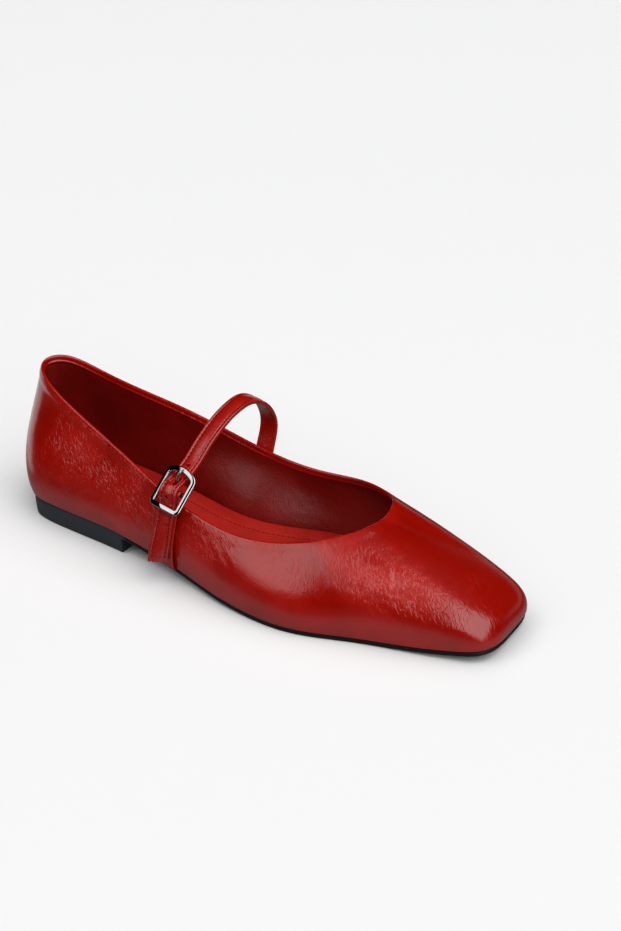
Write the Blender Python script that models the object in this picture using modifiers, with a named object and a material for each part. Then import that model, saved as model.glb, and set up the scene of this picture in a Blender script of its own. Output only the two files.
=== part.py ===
"""Ballet flat with an instep strap and a pin buckle: one right shoe, standing on its heel and ball.

+X runs to the toe, +Y to the inner (big toe) side, +Z up. The origin is the middle of the heel's
ground face. Stations are counted from the back of the heel, as a share of LENGTH.
"""
from collections import namedtuple
from math import cos, pi, radians, sin

import bmesh
import bpy
import numpy as np

MM = 0.001

# Driving dimensions, in metres
LENGTH = 0.252             # sole, back of the heel to the toe
BALL_WIDTH = 0.081         # sole across the ball
BACK_RISE = 0.055          # upper above the sole at the centre back
HEEL_LIFT = 7.8 * MM       # how far the heel raises the sole
TOE_SPRING = 4.0 * MM      # how far the toe tip lifts off the ground
SOLE_THICKNESS = 2.3 * MM  # outsole, with the fitting gap above it
WALL = 2.0 * MM            # upper leather with its lining
INSOLE_THICKNESS = 2.5 * MM
GAP = 0.3 * MM             # fitting gap between neighbours
HEEL_REST = 0.040          # station of the origin, the middle of the heel's ground face

# The underside of the outsole along the shoe, as shares of LENGTH
HEEL_SEAT_END = 0.245
BALL_START = 0.665
BALL_END = 0.775
HEEL_BREAST = 0.305        # front face of the heel

# The outsole's side steps in below the upper, and its lower corner is worn round
SOLE_INSET = 0.3 * MM
SOLE_CORNER = 0.7 * MM
HEEL_TAPER = 1.0 * MM

# Strap, and the short strap that holds the buckle
STRAP_WIDTH = 8.8 * MM
STRAP_THICKNESS = 1.8 * MM
HOLDER_THICKNESS = 1.2 * MM
HOLE_RADIUS = 0.8 * MM
PIN_HOLE_LENGTH = 5.6 * MM
PIN_HOLE_WIDTH = 2.0 * MM

# Buckle
BUCKLE_STATION = 0.4285
BUCKLE_ACROSS = -31.3 * MM
BUCKLE_HEIGHT = 42.5 * MM
BUCKLE_SLOPE = 49.0        # degrees, how steeply it climbs towards the instep
BUCKLE_TURN = -8.0         # degrees, turned in its own plane
BUCKLE_WIDTH = 14.2 * MM   # across, between bar centres
BUCKLE_LENGTH = 15.7 * MM  # along the strap, between bar centres
BUCKLE_BOW = 2.2 * MM      # how far the upper bar bows out
BUCKLE_CORNER = 1.5 * MM
BAR_RADIUS = 1.15 * MM
CROSS_BAR_RADIUS = 0.5 * MM
CROSS_BAR_DEPTH = 2.45 * MM
PRONG_RADIUS = 0.6 * MM

# The sections around the shoe, from the centre back along the outer side to the toe and back along
# the inner side. foot: where the upper meets the sole. top: the topline.
#   along, across    shares of LENGTH and BALL_WIDTH
#   rise, low, high  shares of BACK_RISE: topline above the sole, and the reach of the wall's
#                    lower and upper curve handles
#   lean, fall       degrees: how the wall leans out at the sole, and falls away from the topline
Row = namedtuple("Row", "name foot_along foot_across top_along top_across rise lean low fall high")
ROWS = [
    Row("heel back", 0.016, 0.024, 0.032, 0.017, 1.021, 16, 0.34, 79, 0.38),
    Row("heel turn out", 0.066, -0.237, 0.081, -0.127, 0.951, 26, 0.39, 77, 0.38),
    Row("heel side out", 0.104, -0.324, 0.156, -0.194, 0.849, 22, 0.34, 75, 0.34),
    Row("waist back out", 0.282, -0.363, 0.308, -0.278, 0.634, 14, 0.25, 76, 0.25),
    Row("waist out", 0.437, -0.424, 0.417, -0.360, 0.544, 14, 0.21, 73, 0.20),
    Row("joint out", 0.565, -0.499, 0.557, -0.410, 0.518, 13, 0.20, 59, 0.20),
    Row("ball out", 0.680, -0.508, 0.649, -0.320, 0.558, 11, 0.23, 41, 0.27),
    Row("forepart out", 0.806, -0.376, 0.707, -0.220, 0.620, 8, 0.24, 30, 0.42),
    Row("toe side out", 0.928, -0.274, 0.745, -0.118, 0.667, 6, 0.23, 29, 0.64),
    Row("toe corner out", 0.994, -0.194, 0.757, -0.044, 0.691, 4, 0.24, 20, 0.83),
    Row("toe front", 1.008, 0.069, 0.759, 0.047, 0.681, 8, 0.24, 18, 0.91),
    Row("toe corner in", 0.989, 0.318, 0.752, 0.147, 0.663, 11, 0.23, 22, 0.85),
    Row("toe side in", 0.946, 0.386, 0.745, 0.225, 0.682, 7, 0.22, 23, 0.64),
    Row("forepart in", 0.842, 0.447, 0.725, 0.311, 0.656, 8, 0.23, 38, 0.40),
    Row("ball in", 0.720, 0.480, 0.645, 0.436, 0.603, 10, 0.23, 45, 0.27),
    Row("joint in", 0.610, 0.448, 0.554, 0.410, 0.547, 13, 0.23, 61, 0.22),
    Row("waist in", 0.450, 0.235, 0.426, 0.382, 0.563, 15, 0.25, 74, 0.24),
    Row("waist back in", 0.293, 0.272, 0.309, 0.329, 0.688, 14, 0.28, 77, 0.28),
    Row("heel side in", 0.124, 0.316, 0.151, 0.216, 0.874, 13, 0.31, 78, 0.33),
    Row("heel turn in", 0.050, 0.189, 0.068, 0.143, 1.038, 14, 0.33, 78, 0.37),
]
STEPS_PER_ROW = 6          # sections drawn from each row to the next
PLAN_SOFTENING = 1 / 6     # how far the running average of the foot ring reaches, in rows
WALL_SOFTENING = 3 / 8     # the same for the wall and the topline
LEVELS = 12                # points up each section
LANES = 6                  # strips across the sole and the insole

# The strap's middle line. Points on the shoe give their place across and up in millimetres; those in
# the buckle count along the strap and out of the buckle from its middle. ahead: millimetres to the
# toe. bank: degrees by which the toe side of the strap is lifted; the free end stands off the shoe
# with its heel side.
Bend = namedtuple("Bend", "where first second ahead bank")
STRAP_ROUTE = [
    Bend("shoe", -40.8, 12.0, -0.5, -38),
    Bend("shoe", -40.2, 16.8, -0.3, -26),
    Bend("shoe", -38.6, 22.5, 0, -13),
    Bend("shoe", -36.6, 28.5, 0, -2),
    Bend("buckle", -8.0, -2.9, 0, 3),
    Bend("buckle", -4.6, -0.9, 0, 1),
    Bend("buckle", -1.6, 1.3, 0, 0),
    Bend("buckle", 1.6, 1.3, 0, 0),
    Bend("buckle", 4.6, -0.9, 0, 0),
    Bend("buckle", 8.0, -2.9, 0, 1),
    Bend("shoe", -17.0, 50.0, 0, 2),
    Bend("shoe", -5.4, 58.0, 0, 2),
    Bend("shoe", 8.0, 64.0, 0, -2),
    Bend("shoe", 21.3, 65.2, 0, -8),
    Bend("shoe", 32.5, 58.9, 0, -8),
    Bend("shoe", 38.2, 47.9, 0, 0),
    Bend("shoe", 34.8, 34.2, 0, 7),
    Bend("shoe", 28.7, 20.6, 0, 9),
    Bend("shoe", 21.1, 7.9, 0, 4),
]
STRAP_STATION = 0.4298     # at the middle of the shoe
STRAP_SKEW = 0.035         # how far the strap moves to the toe for each step to the inner side
STRAP_HOLES = [-2.6, 12.8]  # along the strap from the buckle's middle, mm; the pin uses one more between
PIN_HOLE_ALONG = 4.0       # mm

# The holder's middle line up the outer side of the upper, before it turns over the cross bar
HOLDER_ROUTE = [(-35.4, 8.0), (-36.1, 14.5), (-35.3, 21.5), (-33.1, 29.0), (-31.4, 35.0)]
HOLDER_BANK = 9            # degrees by which its toe side stands out, as the upper's side does there
HOLDER_WIDTH = 8.4 * MM
HOLDER_SHIFT = 0.6 * MM    # the holder sits a little to the heel side of the cross bar's middle
HOLDER_TURN = 250          # degrees that the holder wraps around the cross bar

LEATHER_RED = (0.30, 0.008, 0.006, 1.0)
INSOLE_RED = (0.26, 0.007, 0.006, 1.0)
RUBBER_BLACK = (0.012, 0.012, 0.014, 1.0)
METAL_SILVER = (0.75, 0.75, 0.76, 1.0)


# ---------------------------------------------------------------- the last's own functions

def curve_between(before, start, end, after, gaps, share):
    """Point on the smooth curve from start to end; gaps are the three knot gaps around it."""
    g0, g1, g2 = gaps
    leave = g1 * ((start - before) / g0 - (end - before) / (g0 + g1) + (end - start) / g1)
    arrive = g1 * ((end - start) / g1 - (after - start) / (g1 + g2) + (after - end) / g2)
    s2, s3 = share ** 2, share ** 3
    return ((2 * s3 - 3 * s2 + 1) * start + (s3 - 2 * s2 + share) * leave
            + (3 * s2 - 2 * s3) * end + (s3 - s2) * arrive)


def closed_curve(rows, plan_columns, steps):
    """Rows of numbers, filled in smoothly all the way round with steps sections per row."""
    count = len(rows)
    plan = rows[:, plan_columns]
    gaps = np.sqrt(np.linalg.norm(np.roll(plan, -1, axis=0) - plan, axis=1))
    filled = []
    for i in range(count):
        before, start, end, after = (rows[(i + k) % count] for k in (-1, 0, 1, 2))
        near = (gaps[i - 1], gaps[i], gaps[(i + 1) % count])
        filled += [curve_between(before, start, end, after, near, k / steps) for k in range(steps)]
    return np.array(filled)


def open_curve(points, steps):
    """A smooth curve through all the points, with steps pieces between two of them."""
    ends = np.vstack([2 * points[0] - points[1], points, 2 * points[-1] - points[-2]])
    gaps = np.sqrt(np.linalg.norm(np.diff(ends[:, :3], axis=0), axis=1))
    filled = []
    for i in range(1, len(ends) - 2):
        filled += [curve_between(*ends[i - 1:i + 3], gaps[i - 1:i + 2], k / steps) for k in range(steps)]
    return np.array(filled + [points[-1]])


def soften(values, reach):
    """Running average around the shoe, reach sections wide, so that no section sits too close to the next."""
    spread = int(3 * reach)
    width = np.exp(-0.5 * (np.arange(-spread, spread + 1) / reach) ** 2)
    width /= width.sum()
    return sum(w * np.roll(values, k - spread, axis=0) for k, w in enumerate(width))


def sole_lift(x):
    """Height of the outsole's underside over the ground, at row-frame x."""
    share = (x + HEEL_REST) / LENGTH
    slope = np.clip((share - HEEL_SEAT_END) / (BALL_START - HEEL_SEAT_END), 0, 1)
    toe = np.clip((share - BALL_END) / (1 - BALL_END), 0, None)
    return HEEL_LIFT * (1 - 3 * slope ** 2 + 2 * slope ** 3) + TOE_SPRING * toe ** 2


def outward(ring):
    """Level unit vectors that point out of a ring walked heel, outer side, toe, inner side."""
    along = np.roll(ring, -1, axis=0) - np.roll(ring, 1, axis=0)
    normal = np.column_stack([along[:, 1], -along[:, 0], np.zeros(len(ring))])
    return normal / np.linalg.norm(normal, axis=1, keepdims=True)


def sections():
    """The foot ring, the topline ring and the four wall columns, at every drawn section."""
    table = closed_curve(np.array([row[1:] for row in ROWS], float), [0, 1], STEPS_PER_ROW)
    table[:, :2] = soften(table[:, :2], PLAN_SOFTENING * STEPS_PER_ROW)
    table[:, 2:] = soften(table[:, 2:], WALL_SOFTENING * STEPS_PER_ROW)
    foot_along, foot_across, top_along, top_across, rise, lean, low, fall, high = table.T
    foot_x = foot_along * LENGTH - HEEL_REST
    top_x = top_along * LENGTH - HEEL_REST
    foot = np.column_stack([foot_x, foot_across * BALL_WIDTH, sole_lift(foot_x) + SOLE_THICKNESS])
    top = np.column_stack([top_x, top_across * BALL_WIDTH,
                           sole_lift(top_x) + SOLE_THICKNESS + rise * BACK_RISE])
    return foot, top, np.radians(lean), low * BACK_RISE, np.radians(fall), high * BACK_RISE


def upper_surface():
    """Grid of the upper's outer face: one curved section per row, from the sole to the topline."""
    foot, top, lean, low, fall, high = sections()
    up = np.array([0, 0, 1])
    column = [values[:, None] for values in (lean, low, fall, high)]
    lean, low, fall, high = column
    lower = foot + low * (np.sin(lean) * outward(foot) + np.cos(lean) * up)
    upper = top + high * (np.cos(fall) * outward(top) - np.sin(fall) * up)
    t = np.linspace(0, 1, LEVELS)[None, :, None]
    foot, lower, upper, top = (points[:, None, :] for points in (foot, lower, upper, top))
    return (1 - t) ** 3 * foot + 3 * (1 - t) ** 2 * t * lower + 3 * (1 - t) * t ** 2 * upper + t ** 3 * top


# ---------------------------------------------------------------- scene, meshes and materials

def clear_scene():
    for old in list(bpy.data.objects):
        bpy.data.objects.remove(old, do_unlink=True)


def new_collection(name):
    collection = bpy.data.collections.new(name)
    bpy.context.scene.collection.children.link(collection)
    return collection


def new_material(name, colour, roughness, metallic=0.0):
    material = bpy.data.materials.new(name)
    material.use_nodes = True
    surface = material.node_tree.nodes["Principled BSDF"]
    surface.inputs["Base Color"].default_value = colour
    surface.inputs["Roughness"].default_value = roughness
    surface.inputs["Metallic"].default_value = metallic
    material.diffuse_color = colour
    return material


def new_part(name, mesh, material, collection):
    part = bpy.data.objects.new(name, mesh)
    mesh.materials.append(material)
    mesh.shade_smooth()
    mesh.set_sharp_from_angle(angle=radians(40))
    collection.objects.link(part)
    return part


def mesh_from(name, points, faces):
    """A mesh from points and faces, with doubled points merged and all faces turned outward."""
    mesh = bpy.data.meshes.new(name)
    mesh.from_pydata([tuple(p) for p in points], [], faces)
    body = bmesh.new()
    body.from_mesh(mesh)
    bmesh.ops.remove_doubles(body, verts=body.verts, dist=0.001 * MM)
    bmesh.ops.recalc_face_normals(body, faces=body.faces)
    body.to_mesh(mesh)
    body.free()
    return mesh


def cut(part, cutter, operation="DIFFERENCE"):
    boolean = part.modifiers.new("cut " + cutter.name, "BOOLEAN")
    boolean.object = cutter
    boolean.operation = operation
    boolean.solver = "EXACT"
    cutter.hide_render = True
    cutter.display_type = "WIRE"


def curve_mesh(name, points, radius, closed=False, resolution=2):
    """A closed mesh along the points: a round wire with welded caps."""
    data = bpy.data.curves.new(name, "CURVE")
    data.dimensions = "3D"
    data.bevel_depth = radius
    data.bevel_resolution = resolution
    data.use_fill_caps = True
    line = data.splines.new("POLY")
    line.points.add(len(points) - 1)
    for spot, point in zip(line.points, points):
        spot.co = (*point, 1)
    line.use_cyclic_u = closed
    wire = bpy.data.objects.new(name, data)
    bpy.context.scene.collection.objects.link(wire)
    mesh = bpy.data.meshes.new_from_object(wire.evaluated_get(bpy.context.evaluated_depsgraph_get()))
    bpy.data.objects.remove(wire)
    body = bmesh.new()
    body.from_mesh(mesh)
    bmesh.ops.remove_doubles(body, verts=body.verts, dist=0.001 * MM)
    body.to_mesh(mesh)
    body.free()
    return mesh


# ---------------------------------------------------------------- upper

def make_upper(material, collection):
    """The outer face as an open ring of sections; Solidify gives it the leather's thickness."""
    grid = upper_surface()
    around, levels = grid.shape[:2]
    faces = []
    for i in range(around):
        ahead = (i + 1) % around
        for j in range(levels - 1):
            faces.append((i * levels + j, ahead * levels + j, ahead * levels + j + 1, i * levels + j + 1))
    mesh = bpy.data.meshes.new("upper")
    mesh.from_pydata([tuple(p) for p in grid.reshape(-1, 3)], [], faces)
    upper = new_part("upper", mesh, material, collection)
    wall = upper.modifiers.new("wall", "SOLIDIFY")
    wall.thickness = WALL
    wall.offset = -1
    wall.use_even_offset = True
    return upper


# ---------------------------------------------------------------- outsole, heel and insole

def plate_mesh(name, rings, top_height, bottom_height):
    """A plate across the foot ring. rings: outlines from the top edge to the bottom edge."""
    half = len(rings[0]) // 2
    points = []
    faces = []

    def layer(ring, height):
        start = len(points)
        for k in range(half + 1):
            outer, inner = ring[k], ring[-k % len(ring)]
            for lane in range(LANES + 1):
                x, y = outer[:2] + (inner[:2] - outer[:2]) * lane / LANES
                points.append((x, y, height(x)))
        for k in range(half):
            for lane in range(LANES):
                a = start + k * (LANES + 1) + lane
                faces.append((a, a + 1, a + LANES + 2, a + LANES + 1))

    def edge(ring, height):
        start = len(points)
        points.extend((x, y, height(x)) for x, y in ring[:, :2])
        return start

    layer(rings[0], top_height)
    layer(rings[-1], bottom_height)
    shares = np.linspace(0, 1, len(rings))
    starts = [edge(ring, lambda x, s=s: (1 - s) * top_height(x) + s * bottom_height(x))
              for ring, s in zip(rings, shares)]
    count = len(rings[0])
    for above, below in zip(starts, starts[1:]):
        for i in range(count):
            ahead = (i + 1) % count
            faces.append((above + i, below + i, below + ahead, above + ahead))
    return mesh_from(name, points, faces)


def make_outsole(material, collection):
    foot = sections()[0]
    rings = [foot - outward(foot) * inset for inset in (SOLE_INSET, SOLE_INSET, SOLE_INSET + SOLE_CORNER)]
    mesh = plate_mesh("outsole", rings, lambda x: sole_lift(x) + SOLE_THICKNESS - GAP, sole_lift)
    return new_part("outsole", mesh, material, collection)


def make_heel(material, collection, cutters):
    """The heel block: the sole's own outline, cut off at the breast."""
    foot = sections()[0]
    rings = [foot - outward(foot) * inset for inset in (SOLE_INSET, SOLE_INSET + HEEL_TAPER)]
    mesh = plate_mesh("heel", rings, lambda x: max(sole_lift(x) - GAP, GAP), lambda x: 0.0)
    heel = new_part("heel", mesh, material, collection)
    reach = LENGTH * (1 - HEEL_BREAST) * 1.1
    bpy.ops.mesh.primitive_cube_add(size=1)
    cutter = bpy.context.object
    cutter.name = "breast_cutter"
    cutter.scale = (reach, 2 * BALL_WIDTH, 4 * HEEL_LIFT)
    cutter.location = (LENGTH * HEEL_BREAST - HEEL_REST + reach / 2, 0, 0)
    for home in list(cutter.users_collection):
        home.objects.unlink(cutter)
    cutters.objects.link(cutter)
    cut(heel, cutter)
    return heel


def make_insole(material, collection):
    foot = sections()[0]
    inset = WALL + 1.5 * GAP
    rings = [foot - outward(foot) * inset] * 2
    mesh = plate_mesh("insole", rings, lambda x: sole_lift(x) + SOLE_THICKNESS + INSOLE_THICKNESS,
                      lambda x: sole_lift(x) + SOLE_THICKNESS)
    return new_part("insole", mesh, material, collection)


# ---------------------------------------------------------------- buckle

def buckle_frame_axes():
    """Middle of the buckle, and its directions across, along the strap and out of the shoe."""
    slope, turn = radians(BUCKLE_SLOPE), radians(BUCKLE_TURN)
    middle = np.array([BUCKLE_STATION * LENGTH - HEEL_REST, BUCKLE_ACROSS, BUCKLE_HEIGHT])
    across0 = np.array([1, 0, 0])
    climb0 = np.array([0, cos(slope), sin(slope)])
    out = np.array([0, -sin(slope), cos(slope)])
    across = cos(turn) * across0 + sin(turn) * climb0
    climb = cos(turn) * climb0 - sin(turn) * across0
    return middle, across, climb, out


def in_buckle(across, climb, out):
    """A place in the buckle's own directions, in millimetres, turned into the row frame."""
    middle, u, v, w = buckle_frame_axes()
    return middle + MM * (across * u + climb * v + out * w)


def buckle_outline():
    """Centre line of the buckle's frame: four round corners, and an upper bar that bows out."""
    wide, long = BUCKLE_WIDTH / 2 / MM, BUCKLE_LENGTH / 2 / MM
    corner, bow = BUCKLE_CORNER / MM, BUCKLE_BOW / MM
    outline = []
    for side_x, side_y, start in ((1, 1, 0), (-1, 1, 90), (-1, -1, 180), (1, -1, 270)):
        for step in range(5):
            angle = radians(start + 22.5 * step)
            outline.append((side_x * (wide - corner) + corner * cos(angle),
                            side_y * (long - corner) + corner * sin(angle)))
        if side_y == 1 and side_x == 1:
            outline += [(wide * s, long) for s in (0.5, 0.0, -0.5)]
    return [(x, y + bow * max(0, 1 - (x / wide) ** 2) * (y > 0)) for x, y in outline]


def make_buckle_frame(material, collection, cutters):
    frame_line = [in_buckle(x, y, 0) for x, y in buckle_outline()]
    frame = new_part("buckle_frame", curve_mesh("buckle_frame", frame_line, BAR_RADIUS, closed=True),
                     material, collection)
    wide, depth = BUCKLE_WIDTH / 2 / MM, CROSS_BAR_DEPTH / MM
    bend = [(wide, 0), (wide - 0.8, 0.55), (wide - 1.6, 1.0)]
    bar_line = [in_buckle(-x, 0, -share * depth) for x, share in bend]
    bar_line += [in_buckle(x, 0, -share * depth) for x, share in reversed(bend)]
    bar = new_part("cross_bar", curve_mesh("cross_bar", bar_line, CROSS_BAR_RADIUS), material, cutters)
    cut(frame, bar, "UNION")
    return frame


def prong_line():
    """The pin: a loop around the cross bar, then a straight run up and over the upper bar."""
    loop = CROSS_BAR_RADIUS / MM + 0.2 + PRONG_RADIUS / MM
    depth = CROSS_BAR_DEPTH / MM
    angles = np.radians(np.linspace(330, 90, 11))
    points = [in_buckle(0, loop * cos(a), loop * sin(a) - depth) for a in angles]
    rest = BUCKLE_LENGTH / 2 / MM + BUCKLE_BOW / MM
    over = (BAR_RADIUS + PRONG_RADIUS) / MM + 0.3
    straight = ((2.2, -1.0), (4.4, 0.0), (6.6, 1.3), (rest - 0.6, over), (rest + 0.4, over))
    return points + [in_buckle(0, climb, out) for climb, out in straight]


def make_prong(material, collection):
    mesh = curve_mesh("buckle_prong", prong_line(), PRONG_RADIUS)
    return new_part("buckle_prong", mesh, material, collection)


# ---------------------------------------------------------------- strap and buckle holder

def band_directions(line, banks):
    """Across and out of a band that climbs over the shoe, its width lying along the shoe."""
    along = np.gradient(line, axis=0)
    along /= np.linalg.norm(along, axis=1, keepdims=True)
    flat = np.array([1.0, 0, 0]) - along * along[:, :1]
    flat /= np.linalg.norm(flat, axis=1, keepdims=True)
    out = np.cross(flat, along)
    bank = np.radians(banks)[:, None]
    return np.cos(bank) * flat + np.sin(bank) * out, np.cos(bank) * out - np.sin(bank) * flat


def band_mesh(name, line, wide, face, width, thickness):
    """A flat band along a line; wide and face point across the band and out of it."""
    corners = [line + wide * width / 2 * a + face * thickness / 2 * b
               for a, b in ((-1, -1), (1, -1), (1, 1), (-1, 1))]
    points = np.stack(corners, axis=1).reshape(-1, 3)
    faces = [(0, 1, 2, 3), tuple(len(points) - k for k in (4, 3, 2, 1))]
    for i in range(len(line) - 1):
        for side in range(4):
            a, b = 4 * i + side, 4 * i + (side + 1) % 4
            faces.append((a, b, b + 4, a + 4))
    return mesh_from(name, points, faces)


def on_shoe(across, height):
    """A place over the shoe, in millimetres, at the strap's own station."""
    x = STRAP_STATION * LENGTH - HEEL_REST + STRAP_SKEW * across * MM
    return np.array([x, across * MM, height * MM])


def in_buckle_level(climb, out):
    """A place in the buckle's slope, in millimetres, but at the strap's own station."""
    slope = radians(BUCKLE_SLOPE)
    across = BUCKLE_ACROSS / MM + climb * cos(slope) - out * sin(slope)
    return on_shoe(across, BUCKLE_HEIGHT / MM + climb * sin(slope) + out * cos(slope))


def strap_line():
    """The strap's middle line and its bank, from the free end up over the instep to the inner side."""
    knots = []
    for bend in STRAP_ROUTE:
        place = on_shoe if bend.where == "shoe" else in_buckle_level
        x, y, z = place(bend.first, bend.second)
        knots.append((x + bend.ahead * MM, y, z, bend.bank))
    filled = open_curve(np.array(knots), 4)
    return filled[:, :3], filled[:, 3]


def hole_cutter(name, line, climb, length, width, across, cutters):
    """A slot with round ends, square to the strap where its outer half passes that climb."""
    slope = radians(BUCKLE_SLOPE)
    up_strap = np.array([0, cos(slope), sin(slope)])
    middle = in_buckle_level(0, 0)
    outer_half = line[:int(np.argmax(line[:, 2]))]
    index = int(np.argmin(np.abs((outer_half - middle) @ up_strap - climb * MM)))
    along = line[index + 1] - line[index - 1]
    along /= np.linalg.norm(along)
    side = np.array([1.0, 0, 0])
    out = np.cross(side, along)
    straight = max(0.0, (length - width) / 2)
    outline = []
    for sign, start in ((1, -90), (-1, 90)):
        for step in range(7):
            angle = radians(start + 30 * step)
            outline.append((sign * straight + width / 2 * cos(angle), width / 2 * sin(angle)))
    depth = 1.2 * STRAP_THICKNESS
    points = [line[index] + along * a + side * (b + across) + out * depth * level
              for level in (-1, 1) for a, b in outline]
    count = len(outline)
    faces = [tuple(range(count)), tuple(range(count, 2 * count))]
    faces += [(i, (i + 1) % count, (i + 1) % count + count, i + count) for i in range(count)]
    cutter = bpy.data.objects.new(name, mesh_from(name, points, faces))
    cutters.objects.link(cutter)
    return cutter


def make_strap(material, collection, cutters):
    line, banks = strap_line()
    mesh = band_mesh("strap", line, *band_directions(line, banks), STRAP_WIDTH, STRAP_THICKNESS)
    strap = new_part("strap", mesh, material, collection)
    pin_across = in_buckle(0, PIN_HOLE_ALONG, 0)[0] - in_buckle_level(PIN_HOLE_ALONG, 0)[0]
    cut(strap, hole_cutter("pin_hole", line, PIN_HOLE_ALONG, PIN_HOLE_LENGTH, PIN_HOLE_WIDTH,
                           pin_across, cutters))
    for number, climb in enumerate(STRAP_HOLES):
        size = 2 * HOLE_RADIUS
        cut(strap, hole_cutter(f"strap_hole_{number}", line, climb, size, size, 0, cutters))
    return strap


def make_buckle_strap(material, collection, cutters):
    """The holder: up the outer side, over the cross bar and back under it, slotted for the pin."""
    middle, across, climb, out = buckle_frame_axes()
    bar = middle - out * CROSS_BAR_DEPTH
    turn = CROSS_BAR_RADIUS + HOLDER_THICKNESS / 2 + 0.25 * MM
    start = 180 - BUCKLE_SLOPE
    angles = np.radians(np.linspace(start, start - HOLDER_TURN, 13))[:, None]
    wrap_face = np.cos(angles) * climb + np.sin(angles) * out
    wrap = bar + turn * wrap_face - across * HOLDER_SHIFT
    knots = [on_shoe(*spot) for spot in HOLDER_ROUTE] + [wrap[0] - (0, 0, 1.5 * MM)]
    rise = open_curve(np.array(knots), 4)
    wide, face = band_directions(rise, np.full(len(rise), HOLDER_BANK))
    line = np.vstack([rise, wrap])
    wide = np.vstack([wide, np.tile(across, (len(wrap), 1))])
    mesh = band_mesh("buckle_strap", line, wide, np.vstack([face, wrap_face]), HOLDER_WIDTH, HOLDER_THICKNESS)
    holder = new_part("buckle_strap", mesh, material, collection)
    bpy.ops.mesh.primitive_cube_add(size=1)
    slot = bpy.context.object
    slot.name = "pin_slot"
    slot.scale = (PRONG_RADIUS * 2 + 6 * GAP, 12 * MM, 8 * MM)
    slot.rotation_euler.z = radians(BUCKLE_TURN) * cos(radians(BUCKLE_SLOPE))
    slot.location = bar + (0, 0, 0.5 * MM)
    for home in list(slot.users_collection):
        home.objects.unlink(slot)
    cutters.objects.link(slot)
    cut(holder, slot)
    return holder


# ---------------------------------------------------------------- build

clear_scene()
shoe = new_collection("ballet_flat")
tools = new_collection("cutters")
red_leather = new_material("red_leather", LEATHER_RED, 0.25)
insole_leather = new_material("insole_leather", INSOLE_RED, 0.4)
black_rubber = new_material("black_rubber", RUBBER_BLACK, 0.6)
silver_metal = new_material("silver_metal", METAL_SILVER, 0.12, metallic=1.0)

make_upper(red_leather, shoe)
make_outsole(black_rubber, shoe)
make_heel(black_rubber, shoe, tools)
make_insole(insole_leather, shoe)
make_strap(red_leather, shoe, tools)
make_buckle_strap(red_leather, shoe, tools)
make_buckle_frame(silver_metal, shoe, tools)
make_prong(silver_metal, shoe)
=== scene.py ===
"""Red leather ballet flat with an instep strap and a pin buckle, right foot, as it stands on a floor."""
from collections import namedtuple
from math import cos, pi, radians, sin, tan

import bmesh
import bpy
import numpy as np
from mathutils import Matrix, Quaternion, Vector


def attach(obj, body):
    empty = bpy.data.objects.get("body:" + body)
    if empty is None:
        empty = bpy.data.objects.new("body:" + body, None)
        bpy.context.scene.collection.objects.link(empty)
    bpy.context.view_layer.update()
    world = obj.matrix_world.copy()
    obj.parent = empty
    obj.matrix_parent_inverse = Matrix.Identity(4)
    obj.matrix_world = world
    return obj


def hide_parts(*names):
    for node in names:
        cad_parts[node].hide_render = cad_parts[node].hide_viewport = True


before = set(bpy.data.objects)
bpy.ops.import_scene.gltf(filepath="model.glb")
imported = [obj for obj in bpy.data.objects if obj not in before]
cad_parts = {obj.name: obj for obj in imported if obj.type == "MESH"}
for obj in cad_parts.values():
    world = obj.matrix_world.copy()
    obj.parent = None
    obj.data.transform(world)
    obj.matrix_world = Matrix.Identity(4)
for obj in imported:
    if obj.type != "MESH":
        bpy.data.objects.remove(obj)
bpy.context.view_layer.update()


# ---------------------------------------------------------------- floor, lights and camera
# A plain pale studio floor under large soft lamps. The camera stands in front of the outer side,
# well above the shoe, and looks down along it to the toe.

MM = 0.001
CAMERA_AROUND = 33.41      # degrees from the shoe's outer side to its toe
CAMERA_UP = 28.24
CAMERA_ROLL = 0.48
CAMERA_REACH = 0.75035
CAMERA_TARGET = np.array([0.090, 0.0, 0.020])
CAMERA_SHIFT = (0.02317, 0.02440)  # to its right and up
CAMERA_LENS = 99.33
SENSOR_WIDTH = 36
FLOOR_SIZE = 8
FLOOR_ROUGHNESS = 0.7
FLOOR_WHITE = (0.825, 0.825, 0.826, 1.0)
FLOOR_BOUNCE = (0.29, 0.29, 0.29, 1.0)  # what the paper gives back to the shoe
FLOOR_NEAR = (0.25, 0.25, 0.26, 1.0)    # what the leather's shine sees of it, between the flags
FLOOR_FAR = (0.01, 0.01, 0.01, 1.0)     # and beyond them
SHOE_MIDDLE = 0.086
LAMPS_AIM_UP = 0.02
FLAGS_LONG = 0.150         # half the length and width between the black flags
FLAGS_WIDE = 0.065
FLAGS_FADE = (0.8, 1.7)    # their soft edge, as shares of that
NO_FLAG_ALONG = (-0.07, -0.12)  # behind the heel the flags leave off
NO_FLAG_ACROSS = (-0.08, -0.05)
WORLD_STRENGTH = 0.06


def camera_axes():
    around, up, roll = radians(CAMERA_AROUND), radians(CAMERA_UP), radians(CAMERA_ROLL)
    back = np.array([sin(around) * cos(up), -cos(around) * cos(up), sin(up)])
    level = np.array([cos(around), sin(around), 0.0])
    rise = np.cross(back, level)
    return cos(roll) * level + sin(roll) * rise, cos(roll) * rise - sin(roll) * level, back


def add_camera():
    right, up, back = camera_axes()
    data = bpy.data.cameras.new("camera")
    data.sensor_fit = "HORIZONTAL"
    data.sensor_width = SENSOR_WIDTH
    data.lens = CAMERA_LENS
    data.clip_end = 20
    camera = bpy.data.objects.new("camera", data)
    bpy.context.scene.collection.objects.link(camera)
    place = CAMERA_TARGET + back * CAMERA_REACH + right * CAMERA_SHIFT[0] + up * CAMERA_SHIFT[1]
    turn = Matrix([[right[i], up[i], back[i]] for i in range(3)]).to_4x4()
    camera.matrix_world = Matrix.Translation(place) @ turn
    bpy.context.scene.camera = camera


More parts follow.
